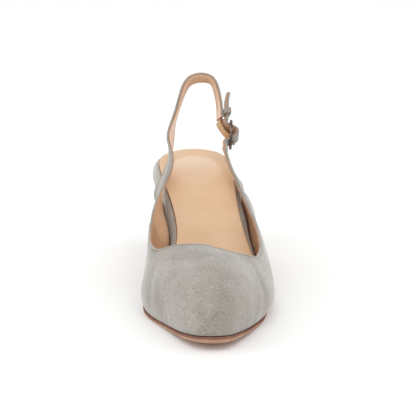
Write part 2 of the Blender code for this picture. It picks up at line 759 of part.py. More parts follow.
# The buckle, seen edge-on in front, lies in the billet's plane with its centre bar inside the loop.
def swept(name, path, first, second, section, made_of, closed=False, size=None):
    """A section carried along a path: first and second are its axes at each point, size its scale."""
    count, sides = len(path), len(section)
    size = np.ones(count) if size is None else size
    points = path[:, None] + size[:, None, None] * (
        first[:, None] * section[None, :, :1] + second[:, None] * section[None, :, 1:]
    )
    faces = []
    for i in range(count if closed else count - 1):
        here, there = i * sides, (i + 1) % count * sides
        for j in range(sides):
            k = (j + 1) % sides
            faces.append((here + j, there + j, there + k, here + k))
    if not closed:
        faces.append(tuple(range(sides)))
        faces.append(tuple(range((count - 1) * sides, count * sides))[::-1])
    made = mesh_object(name, points.reshape(-1, 3), faces, made_of)
    face_outwards(made)
    return made


def round_section(diameter, sides=10):
    angle = np.arange(sides) * 2 * math.pi / sides
    return np.stack([np.cos(angle), np.sin(angle)], 1) * diameter / 2


def flat_section(width, thickness):
    return np.array([(-1, -1), (1, -1), (1, 1), (-1, 1)]) * [width / 2, thickness / 2]


def rounded_frame(length, width, radius, steps=5):
    """Rectangle with rounded corners in the plane, and its outward direction at each point."""
    points, outwards = [], []
    for turn, sides in ((0, (1, 1)), (90, (-1, 1)), (180, (-1, -1)), (270, (1, -1))):
        centre = np.array([length / 2 - radius, width / 2 - radius]) * sides
        for angle in np.radians(np.linspace(turn, turn + 90, steps)):
            out = np.array([math.cos(angle), math.sin(angle)])
            points.append(centre + radius * out)
            outwards.append(out)
    return np.array(points), np.array(outwards)


def strip_middle(station):
    return (top_edge(station)[0] + lower_edge(station)[0]) / 2


buckle_at, run, across, face = buckle_axes()
buckle_width = STRAP_WIDTH + 2 * BUCKLE_BAR + 2 * BUCKLE_SIDE_ROOM


def in_buckle(flat):
    """World points of pairs: along the strap, away from the foot."""
    flat = np.atleast_2d(flat)
    return buckle_at + flat[:, :1] * run + flat[:, 1:] * face


def in_flat(vector):
    """Its parts along the strap and away from the foot."""
    return np.array([vector @ run, vector @ face])


def repeat(vector, count):
    return np.repeat(vector[None], count, axis=0)


path, out = rounded_frame(BUCKLE_LENGTH - BUCKLE_BAR, buckle_width - BUCKLE_BAR, BUCKLE_BAR)
frame_path = buckle_at + path[:, :1] * run + path[:, 1:] * across
frame_out = out[:, :1] * run + out[:, 1:] * across
frame = swept(
    "buckle_frame",
    frame_path,
    frame_out,
    repeat(face, len(path)),
    round_section(BUCKLE_BAR),
    METAL,
    closed=True,
)
bar_ends = np.array([-1, 1])[:, None] * across * (buckle_width - BUCKLE_BAR) / 2 + buckle_at
bar = swept("buckle_bar", bar_ends, repeat(run, 2), repeat(face, 2), round_section(BUCKLE_BAR), METAL)
join(frame, bar)

# Loop of plain leather from the sling's end round the centre bar and back.
end = TOP_ROWS[0, 0]
_, end_width, end_out = (vectors[0] for vectors in strap_frame(np.array([end]), SLING["lean"][:1]))
end_run = unit(strap_direction(np.array([end]))[0])
loop_start = strip_middle(end) - end_out * WALL / 2 - end_run * (2 * CLEARANCE + LOOP_THICKNESS / 2)
start = in_flat(loop_start - buckle_at)
lead = in_flat(-end_run)
wrap = BUCKLE_BAR / 2 + 1.5 * CLEARANCE + LOOP_THICKNESS / 2
turns = np.radians(np.linspace(90, 270, 9) + LOOP_TURN)
bend = wrap * np.stack([np.cos(turns), np.sin(turns)], 1)
legs = (LOOP_THICKNESS + CLEARANCE) / 2
beside = unit(np.array([lead[1], -lead[0]]))
sag = start * 0.5 - beside * LOOP_SAG
leg = np.array([start, start + lead * LOOP_THICKNESS, sag])
flat = np.vstack([leg + beside * legs, bend, leg[::-1] - beside * legs])
way = lengths_along(flat)
flat = spline(way, flat, np.linspace(0, way[-1], 38))
loop_path = in_buckle(flat)
loop_run = unit(np.gradient(loop_path, axis=0))
share = np.clip(np.linalg.norm(flat, axis=1) / np.linalg.norm(start), 0, 1)[:, None]
loop_width = unit(across * (1 - share) + end_width * share)
loop_width = unit(loop_width - loop_run * (loop_width * loop_run).sum(axis=1)[:, None])
loop = swept(
    "buckle_loop",
    loop_path,
    loop_width,
    np.cross(loop_run, loop_width),
    flat_section(STRAP_WIDTH - 2 * LOOP_THICKNESS, LOOP_THICKNESS),
    LOOP_LEATHER,
)

# Prong, its eye round the centre bar and its tip on the bar nearest the toe.
eye_radius = BUCKLE_BAR / 2 + CLEARANCE + PRONG_EYE / 2
angle = np.arange(16) * 2 * math.pi / 16
eye_flat = np.stack([np.cos(angle), np.sin(angle)], 1)
prong = swept(
    "buckle_prong",
    in_buckle(eye_flat * eye_radius),
    repeat(across, 16),
    eye_flat[:, :1] * run + eye_flat[:, 1:] * face,
    flat_section(PRONG_THICKNESS, PRONG_EYE),
    METAL,
    closed=True,
)
rest_height = (BUCKLE_BAR + PRONG_THICKNESS) / 2 + CLEARANCE
tip_reach = BUCKLE_LENGTH / 2
pin_middle = (-0.5 * tip_reach, 0.8 * rest_height)
pin_flat = [(-eye_radius, 0.4 * PRONG_THICKNESS), pin_middle, (-tip_reach, rest_height)]
pin_way = np.linspace(0, 1, 9)
pin_path = in_buckle(spline([0, 0.5, 1], pin_flat, pin_way))
pin_run = unit(np.gradient(pin_path, axis=0))
pin = swept(
    "prong_pin",
    pin_path,
    repeat(across, 9),
    np.cross(pin_run, across),
    round_section(PRONG_THICKNESS, 10),
    METAL,
    size=1 - 0.45 * pin_way**2,
)
join(prong, pin)
hole = swept(
    "prong_hole",
    pin_path[1:-1],
    repeat(across, 7),
    np.cross(pin_run, across)[1:-1],
    round_section(PRONG_THICKNESS + 4 * CLEARANCE, 12),
    METAL,
)
as_cutter(hole)
cut(upper, hole)
slot_path = in_buckle([(-2 * eye_radius, 0), (eye_radius + PRONG_EYE, 0)])
slot_section = flat_section(PRONG_THICKNESS + 4 * CLEARANCE, 4 * eye_radius)
slot = swept("prong_slot", slot_path, repeat(across, 2), repeat(face, 2), slot_section, METAL)
as_cutter(slot)
cut(loop, slot)

# Keeper round the billet above the buckle.
at_keeper = np.array([KEPT])
kept_out = (wall(at_keeper, WALL_ROWS, 0) - wall(at_keeper, WALL_ROWS, WALL))[0].mean(axis=0)
kept_width = unit(top_edge(KEPT)[0] - lower_edge(KEPT)[0])
kept_run = unit(np.cross(kept_width, unit(kept_out)))
kept_out = unit(np.cross(kept_run, kept_width))
kept_at = strip_middle(KEPT) - kept_out * WALL / 2
room = 4 * CLEARANCE + KEEPER_THICKNESS
path, out = rounded_frame(STRAP_WIDTH + room, WALL + room, 0.9 * KEEPER_THICKNESS, 3)
keeper = swept(
    "keeper",
    kept_at + path[:, :1] * kept_width + path[:, 1:] * kept_out,
    repeat(kept_run, len(path)),
    out[:, :1] * kept_width + out[:, 1:] * kept_out,
    flat_section(KEEPER_LENGTH, KEEPER_THICKNESS),
    SUEDE,
    closed=True,
)
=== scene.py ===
"""Left dirndl slingback pump in grey suede over its CAD model, with its linings, seams and finishes.

Metres, toe towards -Y, outer side +X. The upper, its billet and the sling are one swept strip: at each
station a profile climbs from the lower edge to the upper edge, and a wall follows it inwards. The tables
and the curves through them are those of the CAD model.
"""

import math

import bmesh
import bpy
import numpy as np
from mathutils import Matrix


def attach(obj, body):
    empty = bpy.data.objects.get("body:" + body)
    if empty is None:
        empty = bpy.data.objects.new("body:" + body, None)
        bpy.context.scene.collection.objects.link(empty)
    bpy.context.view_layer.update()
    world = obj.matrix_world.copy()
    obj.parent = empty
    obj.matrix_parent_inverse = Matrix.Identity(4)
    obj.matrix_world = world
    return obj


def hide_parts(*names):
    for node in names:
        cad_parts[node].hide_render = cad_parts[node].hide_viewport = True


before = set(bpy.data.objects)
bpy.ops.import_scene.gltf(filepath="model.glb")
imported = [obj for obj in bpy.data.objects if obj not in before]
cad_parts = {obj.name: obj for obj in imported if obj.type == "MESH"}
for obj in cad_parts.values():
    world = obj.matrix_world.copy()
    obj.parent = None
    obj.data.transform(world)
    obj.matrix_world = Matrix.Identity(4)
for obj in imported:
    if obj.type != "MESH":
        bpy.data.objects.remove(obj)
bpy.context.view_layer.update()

def table(columns, *rows):
    """Named columns of numbers, a row for each section."""
    values = np.array(rows, float)
    return {name: values[:, k] for k, name in enumerate(columns.split())}


# Sizes of the shoe, a European size 38.
LENGTH = 0.250
BALL_WIDTH = 0.084
HEEL_HEIGHT = 0.060
INSTEP_RISE = 0.037
SLING_RISE = 0.060
STRAP_WIDTH = 0.010
WALL = 0.0024
SOLE_THICKNESS = 0.004
INSOLE_THICKNESS = 0.0015
HEEL_CUP = 0.0016
TOP_LIFT_THICKNESS = 0.005
HEEL_BASE_LENGTH = 0.037
HEEL_BASE_WIDTH = 0.039
HEEL_INSET = 0.0010

# Sizes of the buckle and what holds it.
BUCKLE_LENGTH = 0.0190
BUCKLE_BAR = 0.0022
PRONG_THICKNESS = 0.0018
LOOP_THICKNESS = 0.0012
KEEPER_THICKNESS = 0.0008
KEEPER_LENGTH = 0.0040

BUCKLE_SIDE_ROOM = 0.0005
PRONG_EYE = 0.0009

# Room between pieces.
CLEARANCE = 0.0003
WELT = 0.0007
BED_GAP = 0.0006

# Seams: how far from an edge, and from one stitch to the next.
STITCH_DROP = 0.0018
STITCH_GAP = 0.0022
STRAP_GAP = 0.0020

# Light: the white surroundings, and soft lamps by place, size and power.
SKY = 0.99
LAMPS = (
    ("top", (0.1, -0.2, 1.5), 1.2, 2.0),
    ("left", (-1.1, -0.1, 0.5), 0.7, 2.1),
    ("right", (1.2, 0.1, 0.5), 0.7, 1.1),
)


# Heights under the foot: along is a share of LENGTH, thick of SOLE_THICKNESS, the others of HEEL_HEIGHT.
PROFILE = table(
    "along tread thick seat",
    (-0.32, 0.0867, 1.0, 0.25),
    (-0.24, 0.0433, 0.75, 0.205),
    (-0.16, 0.0133, 0.6, 0.18),
    (-0.088, 0.0, 0.55, 0.1717),
    (0.0, 0.0, 0.55, 0.175),
    (0.06, 0.0, 0.57, 0.2),
    (0.12, 0.0533, 0.65, 0.2583),
    (0.18, 0.16, 0.72, 0.3583),
    (0.24, 0.29, 0.75, 0.4917),
    (0.3, 0.44, 0.75, 0.65),
    (0.36, 0.6067, 0.75, 0.8167),
    (0.42, 0.75, 0.75, 0.9583),
    (0.48, 0.85, 0.75, 1.0583),
    (0.536, 0.9033, 0.75, 1.1117),
    (0.6, 0.9317, 0.75, 1.14),
    (0.68, 0.9517, 0.75, 1.16),
)

# Outlines: along is a share of LENGTH, medial and lateral of BALL_WIDTH.
SOLE_EDGE = table(
    "along medial lateral",
    (-0.308, -0.0952, 0.1333),
    (-0.276, -0.1714, 0.2024),
    (-0.228, -0.2405, 0.2833),
    (-0.176, -0.3024, 0.356),
    (-0.12, -0.375, 0.4274),
    (-0.06, -0.4476, 0.475),
    (0.0, -0.4726, 0.4964),
    (0.056, -0.45, 0.5083),
    (0.112, -0.3976, 0.5131),
    (0.168, -0.3381, 0.506),
    (0.224, -0.2952, 0.4881),
    (0.28, -0.2762, 0.4643),
    (0.336, -0.3095, 0.45),
    (0.372, -0.3119, 0.4286),
    (0.42, -0.3238, 0.3952),
    (0.48, -0.3476, 0.369),
    (0.536, -0.3571, 0.3476),
    (0.588, -0.3357, 0.3214),
    (0.628, -0.2762, 0.269),
    (0.658, -0.169, 0.1738),
)
SOLE_ENDS = {"tip": (0.0286, -0.32), "heel": (0.0095, 0.672)}

INSOLE_EDGE = table(
    "along medial lateral",
    (-0.264, -0.1131, 0.1429),
    (-0.232, -0.1786, 0.2024),
    (-0.188, -0.2417, 0.2679),
    (-0.132, -0.3214, 0.3512),
    (-0.068, -0.3952, 0.4107),
    (0.0, -0.4143, 0.4405),
    (0.06, -0.375, 0.4571),
    (0.12, -0.3155, 0.4512),
    (0.168, -0.2524, 0.4369),
    (0.224, -0.1952, 0.4024),
    (0.28, -0.181, 0.3702),
    (0.34, -0.2048, 0.3452),
    (0.408, -0.2536, 0.3345),
    (0.472, -0.2893, 0.3262),
    (0.528, -0.3024, 0.3095),
    (0.58, -0.2762, 0.2786),
    (0.624, -0.2024, 0.2167),
)
INSOLE_ENDS = {"tip": (0.0238, -0.282), "heel": (0.0143, 0.66)}

# The topline by station, 0 over the toe and more towards the outer side: across is a share of BALL_WIDTH,
# along of LENGTH, rise over the insole of INSTEP_RISE. CORNER is the throat's sharp outer corner.
TOPLINE = table(
    "station across along rise",
    (-12.0, -0.325, 0.312, 0.486),
    (-11.0, -0.3595, 0.264, 0.5958),
    (-10.0, -0.3821, 0.2276, 0.6566),
    (-9.0, -0.4024, 0.18, 0.7216),
    (-8.0, -0.4179, 0.136, 0.7658),
    (-7.0, -0.4238, 0.088, 0.7963),
    (-6.0, -0.4155, 0.048, 0.8063),
    (-5.5, -0.3929, 0.022, 0.809),
    (-5.0, -0.3643, 0.0064, 0.8219),
    (-4.0, -0.3167, -0.008, 0.8754),
    (-3.0, -0.2619, -0.018, 0.9346),
    (-2.0, -0.1952, -0.0292, 0.9877),
    (-1.0, -0.1036, -0.04, 1.0156),
    (0.0, -0.0119, -0.044, 1.005),
    (1.0, 0.0893, -0.052, 0.9618),
    (2.0, 0.1786, -0.0528, 0.9051),
    (3.0, 0.2655, -0.044, 0.8374),
    (4.0, 0.3512, -0.026, 0.7548),
    (5.0, 0.4155, -0.0028, 0.6766),
    (6.0, 0.4619, 0.056, 0.6744),
    (7.0, 0.4726, 0.12, 0.6297),
    (8.0, 0.4655, 0.192, 0.5228),
    (9.0, 0.4405, 0.256, 0.4024),
    (10.0, 0.4071, 0.308, 0.3096),
    (11.0, 0.3702, 0.35, 0.276),
)
CORNER = 5.0
SEAM = -9.0

# The straps' upper edges: rise is a share of SLING_RISE, width of STRAP_WIDTH, lean to the foot in degrees.
SLING = table(
    "station across along rise width lean",
    (-28.0, 0.269, 0.578, 0.4923, 0.96, -18.0),
    (-27.0, 0.269, 0.5892, 0.5617, 0.93, -10.0),
    (-26.0, 0.2595, 0.6072, 0.6979, 0.9, 3.0),
    (-25.0, 0.2238, 0.628, 0.8739, 0.88, 19.0),
    (-24.0, 0.1607, 0.6412, 0.9572, 0.88, 29.0),
    (-23.0, 0.069, 0.648, 0.974, 0.92, 35.0),
    (-22.0, -0.0238, 0.6412, 0.9422, 0.92, 38.0),
    (-21.0, -0.0964, 0.624, 0.8232, 0.9, 32.0),
    (-20.0, -0.1476, 0.598, 0.6139, 0.92, 14.0),
    (-19.0, -0.194, 0.568, 0.4763, 0.96, -10.0),
    (-18.0, -0.2333, 0.54, 0.3474, 1.0, -23.0),
    (-17.0, -0.2262, 0.504, 0.2812, 1.0, -6.0),
    (-16.0, -0.2048, 0.466, 0.2426, 1.0, 18.0),
    (-15.0, -0.2071, 0.426, 0.223, 1.0, 36.0),
    (-14.0, -0.2333, 0.388, 0.2327, 1.08, 41.0),
    (-13.0, -0.2762, 0.352, 0.2531, 1.52, 29.0),
)

BILLET = table(
    "station across along rise width lean",
    (12.0, 0.3381, 0.376, 0.2154, 1.5, 23.0),
    (13.0, 0.3083, 0.408, 0.2353, 1.15, 20.0),
    (14.0, 0.2881, 0.442, 0.2514, 1.0, 14.0),
    (15.0, 0.2774, 0.476, 0.2752, 1.0, 9.0),
    (19.0, 0.3202, 0.5888, 0.5619, 1.0, 2.0),
    (20.0, 0.3238, 0.6052, 0.6751, 1.0, 9.0),
    (21.0, 0.344, 0.6164, 0.7586, 1.0, 11.0),
)
KEPT = 19.0

# The buckle: its centre as in BILLET, and how steeply and how far outwards the strap runs there, in degrees.
BUCKLE_PLACE = {"across": 0.326, "along": 0.5576, "rise": 0.2965, "climb": 42.5, "turn": 3.0}

# The billet's outer face in the buckle: run along the strap from its centre, a share of BUCKLE_LENGTH, and
# out from it in steps of the billet's own height over the centre bar.
WEAVE = table(
    "station run out",
    (16.0, -0.60, -0.50),
    (16.28, -0.44, -0.50),
    (16.64, -0.24, 0.55),
    (17.0, 0.0, 1.0),
    (17.36, 0.24, 0.62),
    (17.72, 0.44, -0.48),
    (18.0, 0.60, -0.44),
)

# Where each station meets the sole's edge: way around it from the toe, a share of LENGTH.
FEATHER = table(
    "station around",
    (-12.0, -0.732),
    (-11.0, -0.684),
    (-10.0, -0.636),
    (-9.0, -0.588),
    (-8.0, -0.536),
    (-7.0, -0.484),
    (-6.0, -0.436),
    (-5.5, -0.396),
    (-5.0, -0.356),
    (-4.0, -0.28),
    (-3.0, -0.204),
    (-2.0, -0.132),
    (-1.0, -0.064),
    (0.0, 0.0),
    (1.0, 0.068),
    (2.0, 0.136),
    (3.0, 0.204),
    (4.0, 0.276),
    (5.0, 0.356),
    (6.0, 0.424),
    (7.0, 0.492),
    (8.0, 0.564),
    (9.0, 0.632),
    (10.0, 0.692),
    (11.0, 0.752),
)

# How far the wall swells past the sole, how high, and its bulge up to the topline, of INSTEP_RISE.
SWELL = table(
    "station out up bulge",
    (-12.0, 0.0162, 0.1892, 0.0081),
    (-11.0, 0.027, 0.2162, 0.0135),
    (-9.0, 0.027, 0.2432, 0.027),
    (-7.0, 0.0351, 0.2432, 0.0324),
    (-5.0, 0.0595, 0.2162, 0.0405),
    (-3.0, 0.0486, 0.2432, 0.1486),
    (-1.5, 0.0378, 0.2703, 0.2162),
    (0.0, 0.0378, 0.2838, 0.2297),
    (1.5, 0.0486, 0.2703, 0.2162),
    (3.0, 0.0811, 0.2162, 0.1351),
    (5.0, 0.1324, 0.1757, 0.0405),
    (7.0, 0.1108, 0.1757, 0.0405),
    (9.0, 0.0703, 0.1892, 0.0324),
    (10.0, 0.073, 0.2162, 0.0216),
    (11.0, 0.0514, 0.1892, 0.0135),
)

BREAST = 0.448
HEEL_CURVE = 1.5
HEEL_UNDERCUT = 0.012
BED_INSIDE = 0.375
BED_FLUSH = 0.44
LOOP_TURN = -55
LOOP_SAG = 0.0022
WING_FADE = 1.0

# The edge of the wall from the suede's face over to the lining's, in shares of WALL: how far below the
# edge and how deep. The suede is folded over, and the lining's cut edge shows inside it.
RIM = table(
    "drop depth",
    (0.62, 0.0),
    (0.38, 0.004),
    (0.20, 0.04),
    (0.07, 0.13),
    (0.01, 0.25),
    (0.0, 0.38),
    (0.03, 0.52),
    (0.11, 0.63),
    (0.25, 0.68),
    (0.13, 0.71),
    (0.09, 0.79),
    (0.11, 0.89),
    (0.20, 0.96),
    (0.36, 0.99),
    (0.62, 1.0),
)
FOLD_END = 8
LINING_START = 12

# Soft dents and swellings of the vamp: where, how wide in stations and in height, and how high in mm.
DENTS = table(
    "station share wide high rise",
    (-3.9, 0.34, 0.22, 0.30, -0.42),
    (-3.4, 0.36, 0.26, 0.30, 0.30),
    (-2.7, 0.18, 0.16, 0.14, -0.36),
    (-2.3, 0.17, 0.14, 0.13, -0.30),
    (-1.2, 0.70, 0.90, 0.12, -0.22),
    (0.6, 0.62, 1.40, 0.10, 0.20),
    (0.9, 0.34, 0.60, 0.16, -0.20),
    (2.4, 0.30, 0.34, 0.22, -0.32),
    (3.3, 0.42, 0.22, 0.34, -0.34),
    (3.8, 0.40, 0.24, 0.34, 0.30),
    (6.4, 0.35, 0.80, 0.10, -0.22),
    (-6.6, 0.35, 0.90, 0.10, -0.22),
)


def spline(knots, values, at):
    """Natural cubic spline through values, one row per knot."""
    knots, values = np.asarray(knots, float), np.asarray(values, float)
    rows = values.reshape(len(knots), -1)
    step = np.diff(knots)
    count = len(knots)
    system, right = np.eye(count), np.zeros_like(rows)
    for i in range(1, count - 1):
        system[i, i - 1 : i + 2] = step[i - 1], 2 * (step[i - 1] + step[i]), step[i]
        slope = (rows[i + 1] - rows[i]) / step[i] - (rows[i] - rows[i - 1]) / step[i - 1]
        right[i] = 6 * slope
    bend = np.linalg.solve(system, right)
    at = np.atleast_1d(np.asarray(at, float))
    k = np.clip(np.searchsorted(knots, at, side="right") - 1, 0, count - 2)
    before, after, span = (at - knots[k])[:, None], (knots[k + 1] - at)[:, None], step[k][:, None]
    found = (bend[k] * after**3 + bend[k + 1] * before**3) / (6 * span)
    found += (rows[k] / span - bend[k] * span / 6) * after
    found += (rows[k + 1] / span - bend[k + 1] * span / 6) * before
    return found.reshape((len(at),) + values.shape[1:])


def even_curve(knots, values, at):
    """Cubic curve that stays level between equal values and never overshoots."""
    knots, values, at = np.asarray(knots, float), np.asarray(values, float), np.asarray(at, float)
    step = np.diff(knots)
    rise = np.diff(values) / step
    slope = np.zeros(len(knots))
    both = rise[:-1] * rise[1:]
    slope[1:-1] = np.where(both > 0, 2 * both / np.where(both > 0, rise[:-1] + rise[1:], 1), 0)
    slope[0], slope[-1] = rise[0], rise[-1]
    k = np.clip(np.searchsorted(knots, at, side="right") - 1, 0, len(step) - 1)
    u, h = (at - knots[k]) / step[k], step[k]
    start = (1 + 2 * u) * (1 - u) ** 2 * values[k] + u * (1 - u) ** 2 * h * slope[k]
    return start + u * u * (3 - 2 * u) * values[k + 1] + u * u * (u - 1) * h * slope[k + 1]


def lengths_along(points):
    return np.concatenate([[0], np.cumsum(np.linalg.norm(np.diff(points, axis=0), axis=1))])


def unit(vectors):
    return vectors / np.linalg.norm(vectors, axis=-1, keepdims=True)


def closed_curve(points, count):
    """Smooth closed curve through points in turn, evenly spaced."""
    points = np.asarray(points, float)
    turns = np.vstack([points, points, points, points[:1]])
    way = lengths_along(turns)
    first, last = way[len(points)], way[2 * len(points)]
    return spline(way, turns, np.linspace(first, last, count, endpoint=False))


def inset(curve, distance):
    """A closed outline moved inwards all round, by one distance or one for each point."""
    along = unit(np.roll(curve, -1, 0) - np.roll(curve, 1, 0))
    return curve - np.reshape(distance, (-1, 1)) * np.stack([along[:, 1], -along[:, 0]], 1)


def outline(rows, ends, count=600):
    """Plan outline from the toe tip along the outer side to the heel and back, anticlockwise from above."""
    scale = np.array([BALL_WIDTH, LENGTH])
    outer = np.stack([rows["lateral"], rows["along"]], 1)
    inner = np.stack([rows["medial"], rows["along"]], 1)[::-1]
    points = np.vstack([[ends["tip"]], outer, [ends["heel"]], inner])
    return closed_curve(points * scale, count)


SOLE_OUTLINE = outline(SOLE_EDGE, SOLE_ENDS)
INSOLE_OUTLINE = outline(INSOLE_EDGE, INSOLE_ENDS)


def seat_height(y):
    """Height of the insole's edge."""
    return spline(PROFILE["along"] * LENGTH, PROFILE["seat"] * HEEL_HEIGHT, y)


def tread_height(y):
    """Underside of the sole: the forefoot is flat on the floor."""
    return even_curve(PROFILE["along"] * LENGTH, PROFILE["tread"] * HEEL_HEIGHT, y)


def sole_top(y):
    return tread_height(y) + even_curve(PROFILE["along"] * LENGTH, PROFILE["thick"] * SOLE_THICKNESS, y)


def heel_cup(x, y):
    """How far the heel's seat is dished under its rim."""
    fade = np.clip((y / LENGTH - 0.36) / 0.16, 0, 1)
    fade = fade * fade * (3 - 2 * fade)
    width = 0.30 * BALL_WIDTH
    return HEEL_CUP * fade * np.clip(1 - (x / width) ** 2, 0, 1) * np.clip((0.66 - y / LENGTH) / 0.06, 0, 1)


def split_ring(curve, count):
    """Ring of two halves, toe tip first, with points opposite each other: evenly spaced on the outer side."""
    tip, back = np.argmin(curve[:, 1]), np.argmax(curve[:, 1])
    turned = np.roll(curve, -tip, axis=0)
    back = (back - tip) % len(curve)
    outer, inner = turned[: back + 1], np.vstack([turned[back:], turned[:1]])[::-1]
    way = lengths_along(outer)
    even = np.linspace(0, way[-1], count + 1)
    outer = np.stack([np.interp(even, way, outer[:, k]) for k in (0, 1)], 1)
    facing = np.stack([np.interp(outer[:, 1], inner[:, 1], inner[:, 0]), outer[:, 1]], 1)
    return np.vstack([outer, facing[-2:0:-1]])


def lifted(ring, height):
    return np.column_stack([ring, height])


# The strip of upper and straps.
def top_rows():
    """Stations and points of the topline and of both straps' upper edges."""
    rows = []
    for part, size in ((SLING, SLING_RISE), (TOPLINE, INSTEP_RISE), (BILLET, SLING_RISE)):
        y = part["along"] * LENGTH
        z = seat_height(y) + part["rise"] * size
        rows.append(np.column_stack([part["station"], part["across"] * BALL_WIDTH, y, z]))
    return np.vstack(rows)


def buckle_axes():
    """Centre of the buckle, and its directions along the strap, across it and away from the foot."""
    place = BUCKLE_PLACE
    y = place["along"] * LENGTH
    centre = np.array([place["across"] * BALL_WIDTH, y, seat_height(y)[0] + place["rise"] * SLING_RISE])
    climb, turn = math.radians(place["climb"]), math.radians(place["turn"])
    run = np.array([math.sin(turn), math.cos(turn) * math.cos(climb), math.cos(turn) * math.sin(climb)])
    across = unit(np.array([0, -math.sin(climb), math.cos(climb)]))
    across = unit(across - run * (across @ run))
    return centre, run, across, np.cross(run, across)


def woven_rows():
    """Upper edge of the billet where it passes inside the end bars and outside the centre bar."""
    centre, run, across, face = buckle_axes()
    over = BUCKLE_BAR / 2 + LOOP_THICKNESS + WALL + 4 * CLEARANCE
    flat = WEAVE["run"][:, None] * BUCKLE_LENGTH * run + WEAVE["out"][:, None] * over * face
    return np.column_stack([WEAVE["station"], centre + across * STRAP_WIDTH / 2 + flat])


def all_top_rows():
    rows = np.vstack([top_rows(), woven_rows()])
    return rows[np.argsort(rows[:, 0])]


TOP_ROWS = all_top_rows()


def top_edge(station):
    """Upper edge at a station, broken only at the throat's sharp corner."""
    station = np.atleast_1d(np.asarray(station, float))
    found = np.zeros((len(station), 3))
    known = TOP_ROWS[:, 0]
    for side, rows in ((station <= CORNER, known <= CORNER), (station > CORNER, known >= CORNER)):
        if side.any():
            found[side] = spline(TOP_ROWS[rows, 0], TOP_ROWS[rows, 1:], station[side])
    return found


def strap_direction(station, reach=0.9):
    """Which way the strip runs, taken over a length so that a short bend doesn't turn the strap."""
    first, last = TOP_ROWS[0, 0], TOP_ROWS[-1, 0]
    ahead = top_edge(np.clip(station + reach, first, last))
    return unit(ahead - top_edge(np.clip(station - reach, first, last)))


def strap_frame(station, lean):
    """Direction of run, of width and outwards at stations of a strap."""
    run = strap_direction(station)
    point = top_edge(station)
    round_heel = np.maximum(point[:, 1] - 0.58 * LENGTH, 0) * 1.2
    side = unit(np.column_stack([point[:, 0], round_heel, np.zeros(len(point))]))
    rise = unit(np.cross(side, run))
    rise *= np.sign(rise[:, 2:])
    inwards = unit(np.cross(run, rise))
    inwards *= -np.sign((inwards * side).sum(axis=1))[:, None]
    lean = np.radians(lean)[:, None]
    width = np.cos(lean) * rise + np.sin(lean) * inwards
    outwards = np.sin(lean) * rise - np.cos(lean) * inwards
    return run, width, outwards


FOOT_PATH = inset(SOLE_OUTLINE, WELT)
FOOT_PATH = np.roll(FOOT_PATH, -int(np.argmin(FOOT_PATH[:, 1])), axis=0)
FOOT_PATH = np.vstack([FOOT_PATH, FOOT_PATH[:1]])
FOOT_WAY = lengths_along(FOOT_PATH)
FOOT_OUTWARDS = unit(np.gradient(FOOT_PATH, axis=0))
FOOT_OUTWARDS = np.stack([FOOT_OUTWARDS[:, 1], -FOOT_OUTWARDS[:, 0]], 1)


def on_feather(around):
    """Plan point and outward direction a way around the sole's edge from the toe."""
    around = np.mod(around, FOOT_WAY[-1])
    point = np.stack([np.interp(around, FOOT_WAY, FOOT_PATH[:, k]) for k in (0, 1)], 1)
    out = np.stack([np.interp(around, FOOT_WAY, FOOT_OUTWARDS[:, k]) for k in (0, 1)], 1)
    return point, unit(out)


def lower_rows():
    """Stations and points of the strip's lower edge: on the sole, then under each strap."""
    plan, _ = on_feather(FEATHER["around"] * LENGTH)
    rows = [np.column_stack([FEATHER["station"], plan, sole_top(plan[:, 1]) + CLEARANCE])]
    for strap in (SLING, BILLET):
        _, width, _ = strap_frame(strap["station"], strap["lean"])
        edge = top_edge(strap["station"]) - width * (strap["width"] * STRAP_WIDTH)[:, None]
        rows.append(np.column_stack([strap["station"], edge]))
    woven = woven_rows()
    rows.append(np.column_stack([woven[:, 0], woven[:, 1:] - buckle_axes()[2] * STRAP_WIDTH]))
    rows = np.vstack(rows)
    return rows[np.argsort(rows[:, 0])]


LOWER_ROWS = lower_rows()


def lower_edge(station):
    """Lower edge at a station: exactly on the sole's edge, then a smooth line under each strap."""
    station = np.atleast_1d(np.asarray(station, float))
    found = spline(LOWER_ROWS[:, 0], LOWER_ROWS[:, 1:], station)
    on_sole = (station >= FEATHER["station"][0]) & (station <= FEATHER["station"][-1])
    if on_sole.any():
        around = spline(FEATHER["station"], FEATHER["around"] * LENGTH, station[on_sole])
        plan, _ = on_feather(around)
        found[on_sole] = lifted(plan, sole_top(plan[:, 1]) + CLEARANCE)
    return found


def smooth(x):
    """0 to 1 with level ends: 3 x squared less 2 x cubed, of x held between 0 and 1."""
    x = np.clip(x, 0, 1)
    return x * x * (3 - 2 * x)


def profile(station):
    """Corner points of the strip's profile at each station: lower edge, belly, shoulder and upper edge."""
    station = np.asarray(station, float)
    low, high = lower_edge(station), top_edge(station)
    first, last = FEATHER["station"][0], FEATHER["station"][-1]
    on_sole = np.clip(station, first, last)
    wing = np.clip(1 - np.abs(station - on_sole) / WING_FADE, 0, 1)[:, None]
    swell = np.column_stack([SWELL["out"], SWELL["up"], SWELL["bulge"]]) * INSTEP_RISE
    swell = spline(SWELL["station"], swell, on_sole) * wing
    _, out = on_feather(spline(FEATHER["station"], FEATHER["around"] * LENGTH, on_sole))
    belly = low + np.column_stack([out * swell[:, :1], swell[:, 1]])
    belly = belly * wing + (low + (high - low) * 0.3) * (1 - wing)
    reach = 1e-3
    run = unit(lower_edge(station + reach) - lower_edge(station - reach))
    out = unit(np.cross(run, high - belly))
    shoulder = (belly + high) / 2 + out * swell[:, 2:]
    return np.stack([low, belly, shoulder, high], 1)


